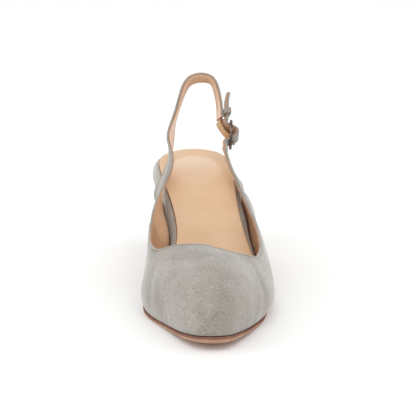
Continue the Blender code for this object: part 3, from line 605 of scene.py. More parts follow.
def profile_curve(corners, share):
    """Natural cubic curves through four points each: its bend at the two inner ones solves a 2 by 2 system."""
    step = np.linalg.norm(np.diff(corners, axis=1), axis=2)
    way = np.concatenate([np.zeros((len(step), 1)), np.cumsum(step, 1)], 1)
    slope = np.diff(corners, axis=1) / step[..., None]
    right = 6 * np.diff(slope, axis=1)
    a, b, c = 2 * (step[:, 0] + step[:, 1]), step[:, 1], 2 * (step[:, 1] + step[:, 2])
    whole = (a * c - b * b)[:, None]
    bend = np.zeros_like(corners)
    bend[:, 1] = (c[:, None] * right[:, 0] - b[:, None] * right[:, 1]) / whole
    bend[:, 2] = (a[:, None] * right[:, 1] - b[:, None] * right[:, 0]) / whole
    at = share * way[:, -1:]
    k = (at > way[:, 1:2]).astype(int) + (at > way[:, 2:3])
    row = np.arange(len(corners))[:, None]
    before, after, span = at - way[row, k], way[row, k + 1] - at, step[row, k]
    before, after, span = before[..., None], after[..., None], span[..., None]
    found = (bend[row, k] * after**3 + bend[row, k + 1] * before**3) / (6 * span)
    found += (corners[row, k] / span - bend[row, k] * span / 6) * after
    return found + (corners[row, k + 1] / span - bend[row, k + 1] * span / 6) * before


def strip(station, share):
    """The strip's outer face: stations along, and shares of the way up each one's profile."""
    return profile_curve(profile(station), share)


def strip_width(station):
    """Length of each station's profile."""
    corners = profile(station)
    return np.linalg.norm(np.diff(corners, axis=1), axis=2).sum(axis=1)


def facing(station, share):
    """Outward directions of the strip: square to its run and to its profile."""
    reach, step = 0.02, 0.01
    along = strip(station + reach, share) - strip(station - reach, share)
    up = strip(station, np.clip(share + step, 0, 1)) - strip(station, np.clip(share - step, 0, 1))
    return unit(np.cross(along, up))


def relief(station, share, drop, point):
    """Height of the suede's soft forms: dents, puckers round the toe's edge and the rolled edge's stitch line."""
    station = station[:, None]
    rise = np.zeros_like(share)
    for at, up, wide, high, much in zip(*(DENTS[k] for k in ("station", "share", "wide", "high", "rise"))):
        rise += much * 1e-3 * np.exp(-(((station - at) / wide) ** 2) - ((share - up) / high) ** 2)
    over = point[..., 2] - sole_top(point[..., 1].ravel()).reshape(share.shape)
    around = spline(FEATHER["station"], FEATHER["around"] * LENGTH, station.ravel())[:, None]
    puckers = np.sin(around * 2 * math.pi / 0.0063 + 1.7 * np.sin(around * 90)) + 0.6 * np.sin(around * 430)
    rise += 0.00013 * puckers * np.exp(-((over / 0.0055) ** 2)) * smooth((5.5 - np.abs(station)) / 2)
    rise += 0.00009 * np.sin(point[..., 0] * 210 + 2 * np.sin(point[..., 1] * 120)) * np.sin(point[..., 1] * 260)
    groove = np.exp(-(((drop - STITCH_DROP) / 0.0007) ** 2))
    roll = np.exp(-(((drop - 0.0007) / 0.0009) ** 2))
    rise += -0.00022 * groove + 0.00012 * roll
    seam = np.exp(-(((station - SEAM) / 0.10) ** 2))
    return rise - 0.00035 * seam


def wall_points(station, share, depth, formed=True):
    """Points a depth under the strip's outer face, which carries its relief down to the fold."""
    station = np.asarray(station, float)
    share, depth = (np.broadcast_to(a, (len(station), np.shape(a)[-1])) for a in (share, depth))
    point, out = strip(station, share), facing(station, share)
    if formed:
        drop = (1 - share) * strip_width(station)[:, None]
        straps = (station < -12) | (station > 11)
        drop[straps] = np.minimum(drop[straps], share[straps] * strip_width(station)[straps, None])
        height = relief(station, share, drop, point) * np.clip(1 - depth / (0.5 * WALL), 0, 1)
        if len(station) > 1:
            height *= smooth(share / 0.04)
        point = point + out * height[..., None]
    point = point - out * depth[..., None]
    on_sole = (station >= FEATHER["station"][0]) & (station <= FEATHER["station"][-1])
    floor = lower_edge(station[on_sole])[:, None, 2]
    point[on_sole, :, 2] = np.maximum(point[on_sole, :, 2], floor)
    return point


def wall_loop(station, rows, ends=None):
    """Closed section at each station: up the suede, over the rim, down the lining and under the lower rim."""
    width = strip_width(station)[:, None]
    drop, depth = RIM["drop"] * WALL / width, RIM["depth"] * WALL
    even = np.linspace(drop[:, 0], 1 - drop[:, 0], rows, axis=1)[:, 1:-1]
    flat = np.zeros((len(station), rows - 2))
    share = np.concatenate([even, 1 - drop, even[:, ::-1], drop[:, ::-1]], 1)
    level = np.broadcast_to(depth, drop.shape)
    depths = np.concatenate([flat, level, flat + WALL, level[:, ::-1]], 1)
    if ends is not None:
        share = 0.5 + (share - 0.5) * ends[:, None]
    count = rows - 2
    rim = len(depth)
    kinds = np.zeros(2 * count + 2 * rim, int)
    kinds[count + FOLD_END : count + LINING_START] = 1
    kinds[count + LINING_START : 2 * count + rim + rim - 1 - LINING_START] = 2
    kinds[2 * count + rim + rim - 1 - LINING_START : 2 * count + rim + rim - 1 - FOLD_END] = 1
    return wall_points(station, share, depths), kinds, (count, rim)


def put_mesh(name, points, faces, materials, kinds=None, weld=0.0, crease=50):
    """One object from points and faces, its faces turned outwards, smooth but for edges sharper than crease."""
    mesh = bpy.data.meshes.new(name)
    points = np.asarray(points, float).reshape(-1, 3)
    mesh.from_pydata(points.tolist(), [], [tuple(dict.fromkeys(np.asarray(f).tolist())) for f in faces])
    for used in materials:
        mesh.materials.append(used)
    if kinds is not None:
        mesh.polygons.foreach_set("material_index", np.asarray(kinds, np.int32))
    shape = bmesh.new()
    shape.from_mesh(mesh)
    if weld:
        bmesh.ops.remove_doubles(shape, verts=shape.verts, dist=weld)
    bmesh.ops.recalc_face_normals(shape, faces=shape.faces)
    if shape.calc_volume(signed=True) < 0:
        bmesh.ops.reverse_faces(shape, faces=shape.faces)
    shape.to_mesh(mesh)
    shape.free()
    mesh.polygons.foreach_set("use_smooth", np.ones(len(mesh.polygons), bool))
    mesh.set_sharp_from_angle(angle=math.radians(crease))
    made = bpy.data.objects.new(name, mesh)
    bpy.context.scene.collection.objects.link(made)
    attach(made, "root")
    return made


def quads_between(first, second):
    """Quads between two like rows of point numbers, first to second."""
    return np.stack([first[:-1], first[1:], second[1:], second[:-1]], -1).reshape(-1, 4)


def wall_piece(name, station, rows, materials, ends=None):
    """A wall of suede, cut edge and lining along stations, closed at both ends."""
    points, kinds, (count, rim) = wall_loop(station, rows, ends)
    columns, around = points.shape[:2]
    index = np.arange(columns * around).reshape(columns, around)
    ring = np.concatenate([index, index[:, :1]], 1)
    faces = [quads_between(ring[i], ring[i + 1]) for i in range(columns - 1)]
    sorts = [kinds] * (columns - 1)
    half = count + rim
    for end in (index[0], index[-1]):
        turned = np.roll(end, -(2 * count + rim + rim // 2))
        faces.append(quads_between(turned[: half + 1], turned[-np.arange(half + 1)]))
        sorts.append(np.ones(half, int))
    return put_mesh(name, points, np.concatenate(faces), materials, np.concatenate(sorts), weld=1e-7)


def stack(name, rings, materials, kinds=(), columns=24, top=None, bottom=None, top_kind=0, bottom_kind=0, crease=50):
    """Closed solid of rings stacked upwards, its caps woven across and moved by top and bottom at x, y."""
    rings = np.asarray(rings)
    layers, count = rings.shape[:2]
    half = count // 2
    index = np.arange(layers * count).reshape(layers, count)
    closed = np.concatenate([index, index[:, :1]], 1)
    points = [rings.reshape(-1, 3)]
    faces = [quads_between(closed[k], closed[k + 1]) for k in range(layers - 1)]
    sorts = [np.full(count, kinds[k] if len(kinds) else 0) for k in range(layers - 1)]
    for ring, shape, kind in ((rings[-1], top, top_kind), (rings[0], bottom, bottom_kind)):
        outer, inner = ring[: half + 1], ring[(count - np.arange(half + 1)) % count]
        across = np.linspace(0, 1, columns + 1)[None, :, None]
        cap = outer[:, None] + (inner - outer)[:, None] * across
        if shape is not None:
            inside = (across[..., 0] > 0) & (across[..., 0] < 1)
            cap[..., 2] += shape(cap[..., 0], cap[..., 1]) * inside
        start = sum(len(p) for p in points)
        grid = start + np.arange((half + 1) * (columns + 1)).reshape(half + 1, columns + 1)
        points.append(cap.reshape(-1, 3))
        faces.append(np.stack([grid[:-1, :-1], grid[1:, :-1], grid[1:, 1:], grid[:-1, 1:]], -1).reshape(-1, 4))
        sorts.append(np.full(half * columns, kind))
    return put_mesh(
        name, np.concatenate(points), np.concatenate(faces), materials, np.concatenate(sorts), weld=2e-6, crease=crease
    )


def swept(path, first, second, section, closed=False, size=None):
    """Points and faces of a section carried along a path, its axes first and second at each point."""
    count, sides = len(path), len(section)
    size = np.ones(count) if size is None else size
    points = path[:, None] + size[:, None, None] * (
        first[:, None] * section[None, :, :1] + second[:, None] * section[None, :, 1:]
    )
    index = np.arange(count * sides).reshape(count, sides)
    ring = np.concatenate([index, index[:, :1]], 1)
    rows = [quads_between(ring[i], ring[(i + 1) % count]) for i in range(count if closed else count - 1)]
    faces = np.concatenate(rows).tolist()
    if not closed:
        faces += [index[0].tolist(), index[-1][::-1].tolist()]
    return points.reshape(-1, 3), faces


def joined(*parts):
    """Several pairs of points and faces as one pair."""
    points, faces, start = [], [], 0
    for p, f in parts:
        points.append(p)
        faces += [[k + start for k in face] for face in f]
        start += len(p)
    return np.concatenate(points), faces


def round_section(diameter, sides=18):
    """Circle of so many sides."""
    angle = np.arange(sides) * 2 * math.pi / sides
    return np.stack([np.cos(angle), np.sin(angle)], 1) * diameter / 2


def flat_section(width, thickness, radius, steps=4):
    """Rectangle with rounded corners, anticlockwise."""
    points = []
    for turn, sides in ((0, (1, 1)), (90, (-1, 1)), (180, (-1, -1)), (270, (1, -1))):
        centre = np.array([width / 2 - radius, thickness / 2 - radius]) * sides
        angle = np.radians(np.linspace(turn, turn + 90, steps))
        points.append(centre + radius * np.stack([np.cos(angle), np.sin(angle)], 1))
    return np.concatenate(points)


def evenly(path, gap, out):
    """Points every gap along a path, with their directions of run and outwards."""
    way = lengths_along(path)
    at = np.arange(gap / 2, way[-1] - gap / 2, gap)
    point = np.stack([np.interp(at, way, path[:, k]) for k in range(3)], 1)
    ahead = np.stack([np.interp(at + gap * 0.3, way, path[:, k]) for k in range(3)], 1)
    back = np.stack([np.interp(at - gap * 0.3, way, path[:, k]) for k in range(3)], 1)
    run = unit(ahead - back)
    out = unit(np.stack([np.interp(at, way, out[:, k]) for k in range(3)], 1))
    return point, run, unit(out - run * (out * run).sum(axis=1)[:, None])


def stitches(name, rows, thread, length=0.0014, thickness=0.00042, slant=0.0):
    """Rows of short threads: each a long bead, a sphere's grid drawn out along the run and sunk by a third."""
    turn = np.linspace(0, 2 * math.pi, 7)[:-1]
    lift = np.radians(np.array([-90, -55, -15, 15, 55, 90]))
    bead = np.stack(
        [
            np.outer(np.sin(lift), np.ones(6)) * length / 2,
            np.outer(np.cos(lift), np.cos(turn)) * thickness / 2,
            np.outer(np.cos(lift), np.sin(turn)) * thickness / 2,
        ],
        -1,
    ).reshape(-1, 3)
    index = np.arange(36).reshape(6, 6)
    ring = np.concatenate([index, index[:, :1]], 1)
    one = np.concatenate([quads_between(ring[k], ring[k + 1]) for k in range(5)])
    point, run, out = (np.concatenate(part) for part in zip(*rows))
    side = np.cross(out, run)
    run = unit(run + slant * side)
    side = np.cross(out, run)
    at = point + out * thickness * 0.16
    axes = np.stack([run, side, out], 1)
    points = at[:, None] + np.einsum("kj,njc->nkc", bead, axes)
    faces = one[None] + 36 * np.arange(len(at))[:, None, None]
    return put_mesh(name, points, faces.reshape(-1, 4), [thread], weld=1e-8, crease=180)


def edge_row(stations, drop, depth, gap, upper=True, lining=False):
    """Stitch places a drop from an edge of the strip, on the suede or on its lining."""
    stations = np.asarray(stations, float)
    share = (drop / strip_width(stations))[:, None]
    share = 1 - share if upper else share
    depths = np.full(share.shape, depth)
    path = wall_points(stations, share, depths, formed=not lining)[:, 0]
    out = facing(stations, share)[:, 0] * (-1 if lining else 1)
    return evenly(path, gap, out)


class Value:
    """A number on a node's socket, so that sums of them read as arithmetic and add their Math nodes."""

    def __init__(self, shader, socket):
        self.shader, self.socket = shader, socket

    def maths(self, operation, first, second):
        return self.shader.node("ShaderNodeMath", {"operation": operation}, {0: first, 1: second})

    def __add__(self, other):
        return self.maths("ADD", self, other)

    def __radd__(self, other):
        return self.maths("ADD", other, self)

    def __sub__(self, other):
        return self.maths("SUBTRACT", self, other)

    def __rsub__(self, other):
        return self.maths("SUBTRACT", other, self)

    def __mul__(self, other):
        return self.maths("MULTIPLY", self, other)

    def __rmul__(self, other):
        return self.maths("MULTIPLY", other, self)

    def __truediv__(self, other):
        return self.maths("DIVIDE", self, other)

    def __abs__(self):
        return self.maths("ABSOLUTE", self, 0.0)

    def lowest(self, other):
        return self.maths("MINIMUM", self, other)

    def highest(self, other):
        return self.maths("MAXIMUM", self, other)

    def between(self, low, high):
        """0 below low to 1 above high, with level ends."""
        settings = {"interpolation_type": "SMOOTHSTEP"}
        return self.shader.node("ShaderNodeMapRange", settings, {"Value": self, "From Min": low, "From Max": high})


class Finish:
    """A material under construction: node() adds any node, and the rest are the few patterns used here."""

    def __init__(self, name, colour, roughness, **constants):
        self.material = bpy.data.materials.new(name)
        self.material.use_nodes = True
        self.tree = self.material.node_tree
        self.surface = self.tree.nodes["Principled BSDF"]
        self.material.diffuse_color = (*colour, 1)
        self.surface.inputs["Base Color"].default_value = (*colour, 1)
        self.surface.inputs["Roughness"].default_value = roughness
        for key, value in constants.items():
            self.surface.inputs[key.replace("_", " ")].default_value = value
        self.place = self.node("ShaderNodeTexCoord", {}, {}, "Object")

    def node(self, sort, settings, inputs, output=0):
        """Adds a node of a sort with its settings, then the values or links of its sockets."""
        made = self.tree.nodes.new(sort)
        for key, value in settings.items():
            setattr(made, key, value)
        for key, value in inputs.items():
            if isinstance(value, Value):
                self.tree.links.new(value.socket, made.inputs[key])
            else:
                made.inputs[key].default_value = value
        return Value(self, made.outputs[output])

    def noise(self, size, detail=2.0, rough=0.5, place=None, stretch=(1, 1, 1)):
        """Cloudy numbers about 0.5, with forms of about this size in metres."""
        place = place or self.place
        if stretch != (1, 1, 1):
            place = self.node("ShaderNodeMapping", {}, {"Vector": place, "Scale": stretch})
        inputs = {"Vector": place, "Scale": 1 / size, "Detail": detail, "Roughness": rough}
        return self.node("ShaderNodeTexNoise", {}, inputs)

    def cells(self, size, feature="F1"):
        """Distance from the nearest of scattered points, in cells of this size."""
        return self.node("ShaderNodeTexVoronoi", {"feature": feature}, {"Vector": self.place, "Scale": 1 / size})

    def axes(self):
        """The three coordinates as numbers."""
        made = self.tree.nodes.new("ShaderNodeSeparateXYZ")
        self.tree.links.new(self.place.socket, made.inputs[0])
        return [Value(self, out) for out in made.outputs]

    def mix(self, share, first, second):
        """One colour or another by a share of 0 to 1."""
        first, second = (c if isinstance(c, Value) else (*c, 1) for c in (first, second))
        return self.node("ShaderNodeMix", {"data_type": "RGBA"}, {0: share, 6: first, 7: second}, 2)

    def bump(self, height, depth, below=None):
        """Surface directions for a height of 0 to 1 that is this deep in metres."""
        inputs = {"Height": height, "Distance": depth, "Strength": 1.0}
        if below:
            inputs["Normal"] = below
        return self.node("ShaderNodeBump", {}, inputs)

    def done(self, **links):
        for key, value in links.items():
            self.tree.links.new(value.socket, self.surface.inputs[key.replace("_", " ")])
        return self.material


def suede(name, pale, deep, warm, nap=1.0):
    """Brushed leather: clouds of pale and deep where the nap lies differently, a warm cast in places, fine fibres."""
    made = Finish(name, pale, 0.95, Sheen_Weight=0.75, Sheen_Roughness=0.4, Specular_IOR_Level=0.15)
    clouds = made.noise(0.022, 3.0, 0.55).between(0.30, 0.70)
    patches = made.noise(0.0075, 2.0, 0.6).between(0.30, 0.72)
    grain = made.noise(0.0011, 2.0, 0.7)
    fibres = made.noise(0.00035, 2.0, 0.6, stretch=(1, 0.55, 1))
    cast = made.noise(0.030, 1.0, 0.4).between(0.50, 0.72)
    share = clouds * 0.44 + patches * 0.18 + (grain - 0.5) * 2.3 * nap + (fibres - 0.5) * 0.7 + 0.16
    colour = made.mix(share.highest(0.0).lowest(1.0), pale, deep)
    colour = made.mix(cast * 0.45, colour, warm)
    rough = 0.90 + grain * 0.08
    return made.done(
        Base_Color=colour, Roughness=rough, Normal=made.bump(grain * 0.65 + fibres * 0.35, 0.00016 * nap)
    )


def leather(name, pale, deep, roughness=0.45, pore=0.0009, depth=0.00005, coat=0.05, streak=None, own_hue_ends=None):
    """Smooth leather: soft clouds of two tones, fine pores, streaks along one axis where it is burnished.

    Given a colour and two ranges along the shoe, it is that colour before the first range and past the other, and shows
    its two tones only between them; on the strap lining those tones are paler as a painted reflection.
    """
    made = Finish(name, pale, roughness, Coat_Weight=coat, Coat_Roughness=0.35)
    clouds = made.noise(0.016, 3.0, 0.5).between(0.30, 0.72)
    fine = made.noise(0.0016, 3.0, 0.6)
    pores = made.cells(pore).between(0.0, 0.55)
    share = clouds * 0.55 + (fine - 0.5) * 0.5 + (1 - pores) * 0.12
    if streak:
        lines = made.noise(0.0012, 2.0, 0.6, stretch=streak).between(0.35, 0.70)
        share = share * 0.5 + lines * 0.6
    colour = made.mix(share.highest(0.0).lowest(1.0), pale, deep)
    # The leather's own hue at both ends; between them the two tones, which on the strap lining are a painted
    # reflection.
    if own_hue_ends:
        hue, before, past = own_hue_ends
        _, y, _ = made.axes()
        colour = made.mix((1 - y.between(*before) + y.between(*past)) * (0.9 - clouds * 0.3), colour, hue)
    wrinkle = made.noise(0.004, 3.0, 0.6)
    height = pores * 0.6 + fine * 0.25 + wrinkle * 0.5
    return made.done(Base_Color=colour, Roughness=roughness + (fine - 0.5) * 0.2, Normal=made.bump(height, depth))


def insole_leather():
    """The sock: tan leather with a painted reflection, paler and pinker, in the hollow under the heel, and a little
    darker behind it at the back end.
    """
    made = Finish("insole_leather", TAN_PALE, 0.42, Coat_Weight=0.08, Coat_Roughness=0.4)
    x, y, _ = made.axes()
    aside = (x - HEEL_HOLLOW_MIDDLE[0]) / REFLECTION_HALF[0]
    along = (y - HEEL_HOLLOW_MIDDLE[1]) / REFLECTION_HALF[1]
    inside = 1 - (aside * aside + along * along).between(0.78, 1.0)
    ahead = along.between(-0.65, 0.75)
    clouds = made.noise(0.020, 3.0, 0.5).between(0.30, 0.72)
    fine = made.noise(0.0015, 3.0, 0.6)
    pores = made.cells(0.0008).between(0.0, 0.5)
    base = made.mix((clouds * 0.5 + (fine - 0.5) * 0.35).highest(0.0), TAN_PALE, TAN_DEEP)
    back = (y - HEEL_HOLLOW_MIDDLE[1]).between(0.028, 0.040)
    base = made.mix(back * 0.55, base, TAN_BACK)
    # Painted reflection: the hollow under the heel is painted paler and pinker, most towards its back.
    colour = made.mix(inside * ahead * 0.9, base, TAN_PAINTED_REFLECTION)
    height = pores * 0.5 + fine * 0.3
    return made.done(Base_Color=colour, Roughness=0.40 + fine * 0.12, Normal=made.bump(height, 0.00003))


def sole_edge_leather(name, pale, deep, layer, roughness, depth):
    """Cut edge of stacked leather: thin layers along the sole with fibres standing out of it."""
    made = Finish(name, pale, roughness)
    _, _, z = made.axes()
    wave = made.noise(0.012, 2.0, 0.5)
    layers = made.node("ShaderNodeMath", {"operation": "SINE"}, {0: z * (2 * math.pi / layer) + wave * 6.0})
    fibres = made.noise(0.0009, 3.0, 0.7, stretch=(1, 1, 2.2))
    clouds = made.noise(0.009, 2.0, 0.5).between(0.32, 0.70)
    share = 0.5 + layers * 0.10 + (fibres - 0.5) * 1.3 + (clouds - 0.5) * 0.4
    colour = made.mix(share.highest(0.0).lowest(1.0), pale, deep)
    return made.done(Base_Color=colour, Normal=made.bump(fibres * 0.8 + layers * 0.1, depth))


def tread_leather():
    """Underside of the sole: tan leather, scuffed grey where the forefoot meets the floor."""
    made = Finish("tread_leather", SOLE_PALE, 0.55)
    x, _, z = made.axes()
    worn = (1 - z.between(0.0002, 0.0022)) * (1 - abs(x).between(0.020, 0.040))
    clouds = made.noise(0.014, 3.0, 0.55).between(0.30, 0.70)
    scratches = made.noise(0.0016, 3.0, 0.65, stretch=(1, 0.12, 1)).between(0.45, 0.75)
    fine = made.noise(0.0012, 2.0, 0.6)
    base = made.mix(clouds * 0.6 + (fine - 0.5) * 0.5, SOLE_PALE, SOLE_DEEP)
    colour = made.mix(worn * (0.25 + scratches * 0.45), base, (0.17, 0.13, 0.105))
    return made.done(
        Base_Color=colour, Roughness=0.50 + scratches * worn * 0.25, Normal=made.bump(fine + scratches * worn, 0.00006)
    )


def rubber():
    """Matt dark rubber with a fine cast grain, dusty on the tread."""
    made = Finish("top_lift_rubber", (0.055, 0.036, 0.028), 0.75)
    grain = made.noise(0.0007, 3.0, 0.7)
    dust = made.noise(0.010, 3.0, 0.6).between(0.45, 0.75)
    colour = made.mix(dust * 0.35 + (grain - 0.5) * 0.4, (0.055, 0.036, 0.028), (0.13, 0.10, 0.085))
    return made.done(Base_Color=colour, Roughness=0.68 + grain * 0.2, Normal=made.bump(grain, 0.00006))


def bronze():
    """Antique plating: dark in general, rubbed through to a paler warm metal in patches, a little pitted."""
    made = Finish("antique_bronze", (0.15, 0.11, 0.10), 0.36, Metallic=1.0)
    rubbed = made.noise(0.0042, 3.0, 0.6).between(0.46, 0.66)
    pits = made.noise(0.0005, 2.0, 0.6)
    colour = made.mix(rubbed, (0.115, 0.080, 0.074), (0.43, 0.34, 0.31))
    return made.done(Base_Color=colour, Roughness=0.42 - rubbed * 0.14 + pits * 0.1, Normal=made.bump(pits, 0.00003))


def thread(name, pale, deep):
    """Twisted thread: fine slanting strands."""
    made = Finish(name, pale, 0.7, Sheen_Weight=0.2)
    strands = made.noise(0.00025, 2.0, 0.6)
    colour = made.mix(strands.between(0.35, 0.70), pale, deep)
    return made.done(Base_Color=colour, Normal=made.bump(strands, 0.00005))


TAN_PALE, TAN_DEEP = (0.770, 0.525, 0.325), (0.665, 0.415, 0.225)
# The first is the colour of a painted reflection, paler and pinker, for the hollow under the heel; the second is the
# darker tan at the seat's back end.
TAN_PAINTED_REFLECTION, TAN_BACK = (0.850, 0.650, 0.480), (0.690, 0.450, 0.250)
SOLE_PALE, SOLE_DEEP = (0.480, 0.255, 0.165), (0.330, 0.160, 0.100)
# Middle of the hollow under the heel, and half the size of the painted reflection in it.
HEEL_HOLLOW_MIDDLE, REFLECTION_HALF = (0.0008, 0.121), (0.0190, 0.0290)

SUEDE = suede("grey_suede", (0.435, 0.402, 0.361), (0.246, 0.226, 0.195), (0.335, 0.293, 0.253))
# Paler copy of the grey suede for the footbed: painted light, brightening its side where it sits in shade beside the
# wall.
LIGHTENED_BED_SUEDE = suede("footbed_suede_painted_light", (0.535, 0.508, 0.466), (0.337, 0.318, 0.287), (0.405, 0.374, 0.336))
HEEL_SUEDE = suede("heel_suede", (0.445, 0.412, 0.368), (0.268, 0.246, 0.212), (0.350, 0.308, 0.266))
LINING = leather("lining_leather", (0.515, 0.305, 0.170), (0.395, 0.210, 0.102))
# The strap lining is painted paler where its sides glance away, a painted reflection; its own tan, the first colour
# here, comes back towards its front end and round the back of the heel.
LINING_TURNS = ((0.535, 0.305, 0.152), (0.088, 0.108), (0.148, 0.156))
STRAP_LINING_PAINTED_SHEEN = leather("strap_lining_painted_sheen", (0.800, 0.595, 0.465), (0.700, 0.480, 0.345), own_hue_ends=LINING_TURNS)
CUT_EDGE = leather("cut_edge", (0.560, 0.290, 0.160), (0.400, 0.185, 0.095), roughness=0.7, depth=0.00010, coat=0.0)
INSOLE_LEATHER = insole_leather()
INSOLE_EDGE_FINISH = leather("insole_edge", (0.330, 0.160, 0.095), (0.190, 0.090, 0.055), roughness=0.6)
# The sole's edge in two bands: the lower paler, painted light from the white floor; the upper darker with rougher
# fibres, painted shadow under the upper's overhang.
SOLE_EDGE_FLOOR_LIT = sole_edge_leather("sole_edge", (0.545, 0.320, 0.210), (0.350, 0.180, 0.115), 0.0011, 0.6, 0.00010)
SOLE_EDGE_PAINTED_SHADOW = sole_edge_leather("sole_top_painted_shadow", (0.330, 0.150, 0.100), (0.120, 0.055, 0.040), 0.0008, 0.8, 0.00025)
TREAD = tread_leather()
RUBBER = rubber()
BRONZE = bronze()
LOOP_LEATHER = leather("loop_leather", (0.640, 0.400, 0.190), (0.420, 0.220, 0.085), streak=(1.6, 1.6, 0.25))
LOOP_EDGE = leather("loop_edge", (0.270, 0.130, 0.060), (0.150, 0.070, 0.035), roughness=0.65)
GREY_THREAD = thread("grey_thread", (0.170, 0.160, 0.145), (0.095, 0.088, 0.080))
PALE_THREAD = thread("pale_thread", (0.930, 0.870, 0.780), (0.760, 0.660, 0.550))
TAN_THREAD = thread("tan_thread", (0.680, 0.470, 0.320), (0.500, 0.310, 0.190))
BROWN_THREAD = thread("brown_thread", (0.480, 0.270, 0.160), (0.330, 0.170, 0.095))

# The upper: vamp, outer wing and billet.
last = TOP_ROWS[-1, 0]
seam_step = 0.012
vamp = np.concatenate([np.arange(SEAM + seam_step, -8.6, 0.05), np.arange(-8.6, 12.0, 0.07)])
tail = np.concatenate([np.arange(12.0, last - 0.6, 0.05), np.linspace(last - 0.6, last, 16)])
ends = np.sqrt(1 - 0.72 * np.clip((np.concatenate([vamp, tail]) - (last - 0.6)) / 0.6, 0, 1) ** 2)
upper = wall_piece("upper_skin", np.concatenate([vamp, tail]), 44, [SUEDE, CUT_EDGE, LINING], ends)
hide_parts("upper")

# The sling: inner wing behind the seam and the strap round the heel.
first = TOP_ROWS[0, 0]
sling = np.concatenate([np.arange(first, -13.0, 0.06), np.arange(-13.0, SEAM - seam_step, 0.045), [SEAM - seam_step]])
strap = wall_piece("sling_skin", sling, 26, [SUEDE, CUT_EDGE, STRAP_LINING_PAINTED_SHEEN])
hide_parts("sling_strap")

# Seams: along the topline and both edges of the straps, and beside the inner seam.
topline = np.arange(-11.8, 12.0, 0.05)
straps_inner = np.arange(first + 0.35, -11.8, 0.05)
straps_outer = np.arange(12.0, last - 0.5, 0.05)
rows = [edge_row(np.arange(-11.8, SEAM - 0.06, 0.04), STITCH_DROP, 0, STITCH_GAP)]
rows += [edge_row(np.arange(SEAM + 0.06, 5.0, 0.04), STITCH_DROP, 0, STITCH_GAP)]
rows += [edge_row(np.arange(5.06, 12.0, 0.04), STITCH_DROP, 0, STITCH_GAP)]
rows += [edge_row(part, STITCH_DROP, 0, STRAP_GAP) for part in (straps_inner, straps_outer)]
rows += [edge_row(part, STITCH_DROP, 0, STRAP_GAP, upper=False) for part in (straps_inner, straps_outer)]
stitches("topline_stitches", rows, GREY_THREAD, length=0.0014, thickness=0.00048)
inner_rows = [edge_row(part, STITCH_DROP, WALL, STRAP_GAP, lining=True) for part in (straps_inner, straps_outer)]
wing_rows = [topline[topline < -8], topline[topline > 5.2]]
wing_rows = [edge_row(part, STITCH_DROP, WALL, STITCH_GAP, lining=True) for part in wing_rows]
stitches("wing_lining_stitches", wing_rows, TAN_THREAD, length=0.0012, thickness=0.00040)
stitches("lining_stitches", inner_rows, PALE_THREAD, length=0.0011, thickness=0.00068)
low_rows = [edge_row(part, STITCH_DROP, WALL, STRAP_GAP, upper=False, lining=True) for part in (straps_inner, straps_outer)]
stitches("lower_lining_stitches", low_rows, BROWN_THREAD, length=0.0013, thickness=0.00050)


def across_row(station, low, high, depth=0.0, lining=False):
    """Stitch places up the strip at one station."""
    share = np.linspace(low, high, 60)[None]
    path = wall_points(np.array([station]), share, np.full(share.shape, depth), formed=False)[0]
    out = facing(np.array([station]), share)[0] * (-1 if lining else 1)
    return evenly(path, STITCH_GAP, out)


stitches("seam_stitches", [across_row(SEAM + 0.16, 0.04, 0.94), across_row(SEAM - 0.16, 0.04, 0.94)], GREY_THREAD)
end_rows = [across_row(first + 0.32, 0.12, 0.88, WALL, True), across_row(first + 0.75, 0.12, 0.88, WALL, True)]
stitches("sling_end_stitches", end_rows, PALE_THREAD, length=0.0010)


# Footbed under its suede, and the insole on it.
def dish(x, y):
    """Hollow under the heel: deepest in the middle, with a long slope ahead and a soft shoulder at the back."""
    aside, along = (x - HEEL_HOLLOW_MIDDLE[0]) / 0.025, (y - HEEL_HOLLOW_MIDDLE[1]) / 0.038
    round_back = smooth((1.0 - aside**2 - np.where(along > 0, along, 0) ** 2) / 0.9)
    return -0.8 * HEEL_CUP * round_back * smooth((along + 1.5) / 1.4)


seat = split_ring(INSOLE_OUTLINE, 150)
flush = smooth((SOLE_OUTLINE[:, 1] / LENGTH - BED_INSIDE) / (BED_FLUSH - BED_INSIDE))
beside_wall = (WELT + WALL + BED_GAP) * (1 - flush)
bed = split_ring(inset(SOLE_OUTLINE, beside_wall), 150)
bed_under = split_ring(inset(SOLE_OUTLINE, beside_wall + BED_GAP), 150)
bed_top = INSOLE_THICKNESS + 0.00006
rings = [lifted(bed_under, sole_top(bed_under[:, 1]) + 0.00008)]
rings += [lifted(bed_under * 0.45 + bed * 0.55, sole_top(bed[:, 1]) + 0.45 * BED_GAP)]
steep = math.radians(78)
for turn in np.radians(np.concatenate([np.linspace(78, 8, 15), [1.0]])):
    plan = seat + (bed - seat) * math.sin(turn) / math.sin(steep)
    top = seat_height(plan[:, 1]) - bed_top
    drop = top - sole_top(plan[:, 1]) - CLEARANCE - BED_GAP
    height = top - drop * (1 - math.cos(turn)) / (1 - math.cos(steep))
    rings.append(lifted(plan, height))
# The footbed's cover takes the paler suede, painted light against the shade beside the wall.
footbed = stack("footbed_cover", rings, [LIGHTENED_BED_SUEDE], top=dish)
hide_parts("footbed")

rings = []
for inwards, below in ((0.00005, 1.0), (0.0, 0.72), (0.0, 0.30), (0.00012, 0.10), (0.00040, 0.0), (0.0010, -0.02)):
    ring = split_ring(inset(INSOLE_OUTLINE, inwards), 150)
    rings.append(lifted(ring, seat_height(ring[:, 1]) - INSOLE_THICKNESS * below))
insole = stack("insole_sock", rings, [INSOLE_LEATHER, INSOLE_EDGE_FINISH], (1, 1, 1, 1, 0), 48, dish, dish)
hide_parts("insole")


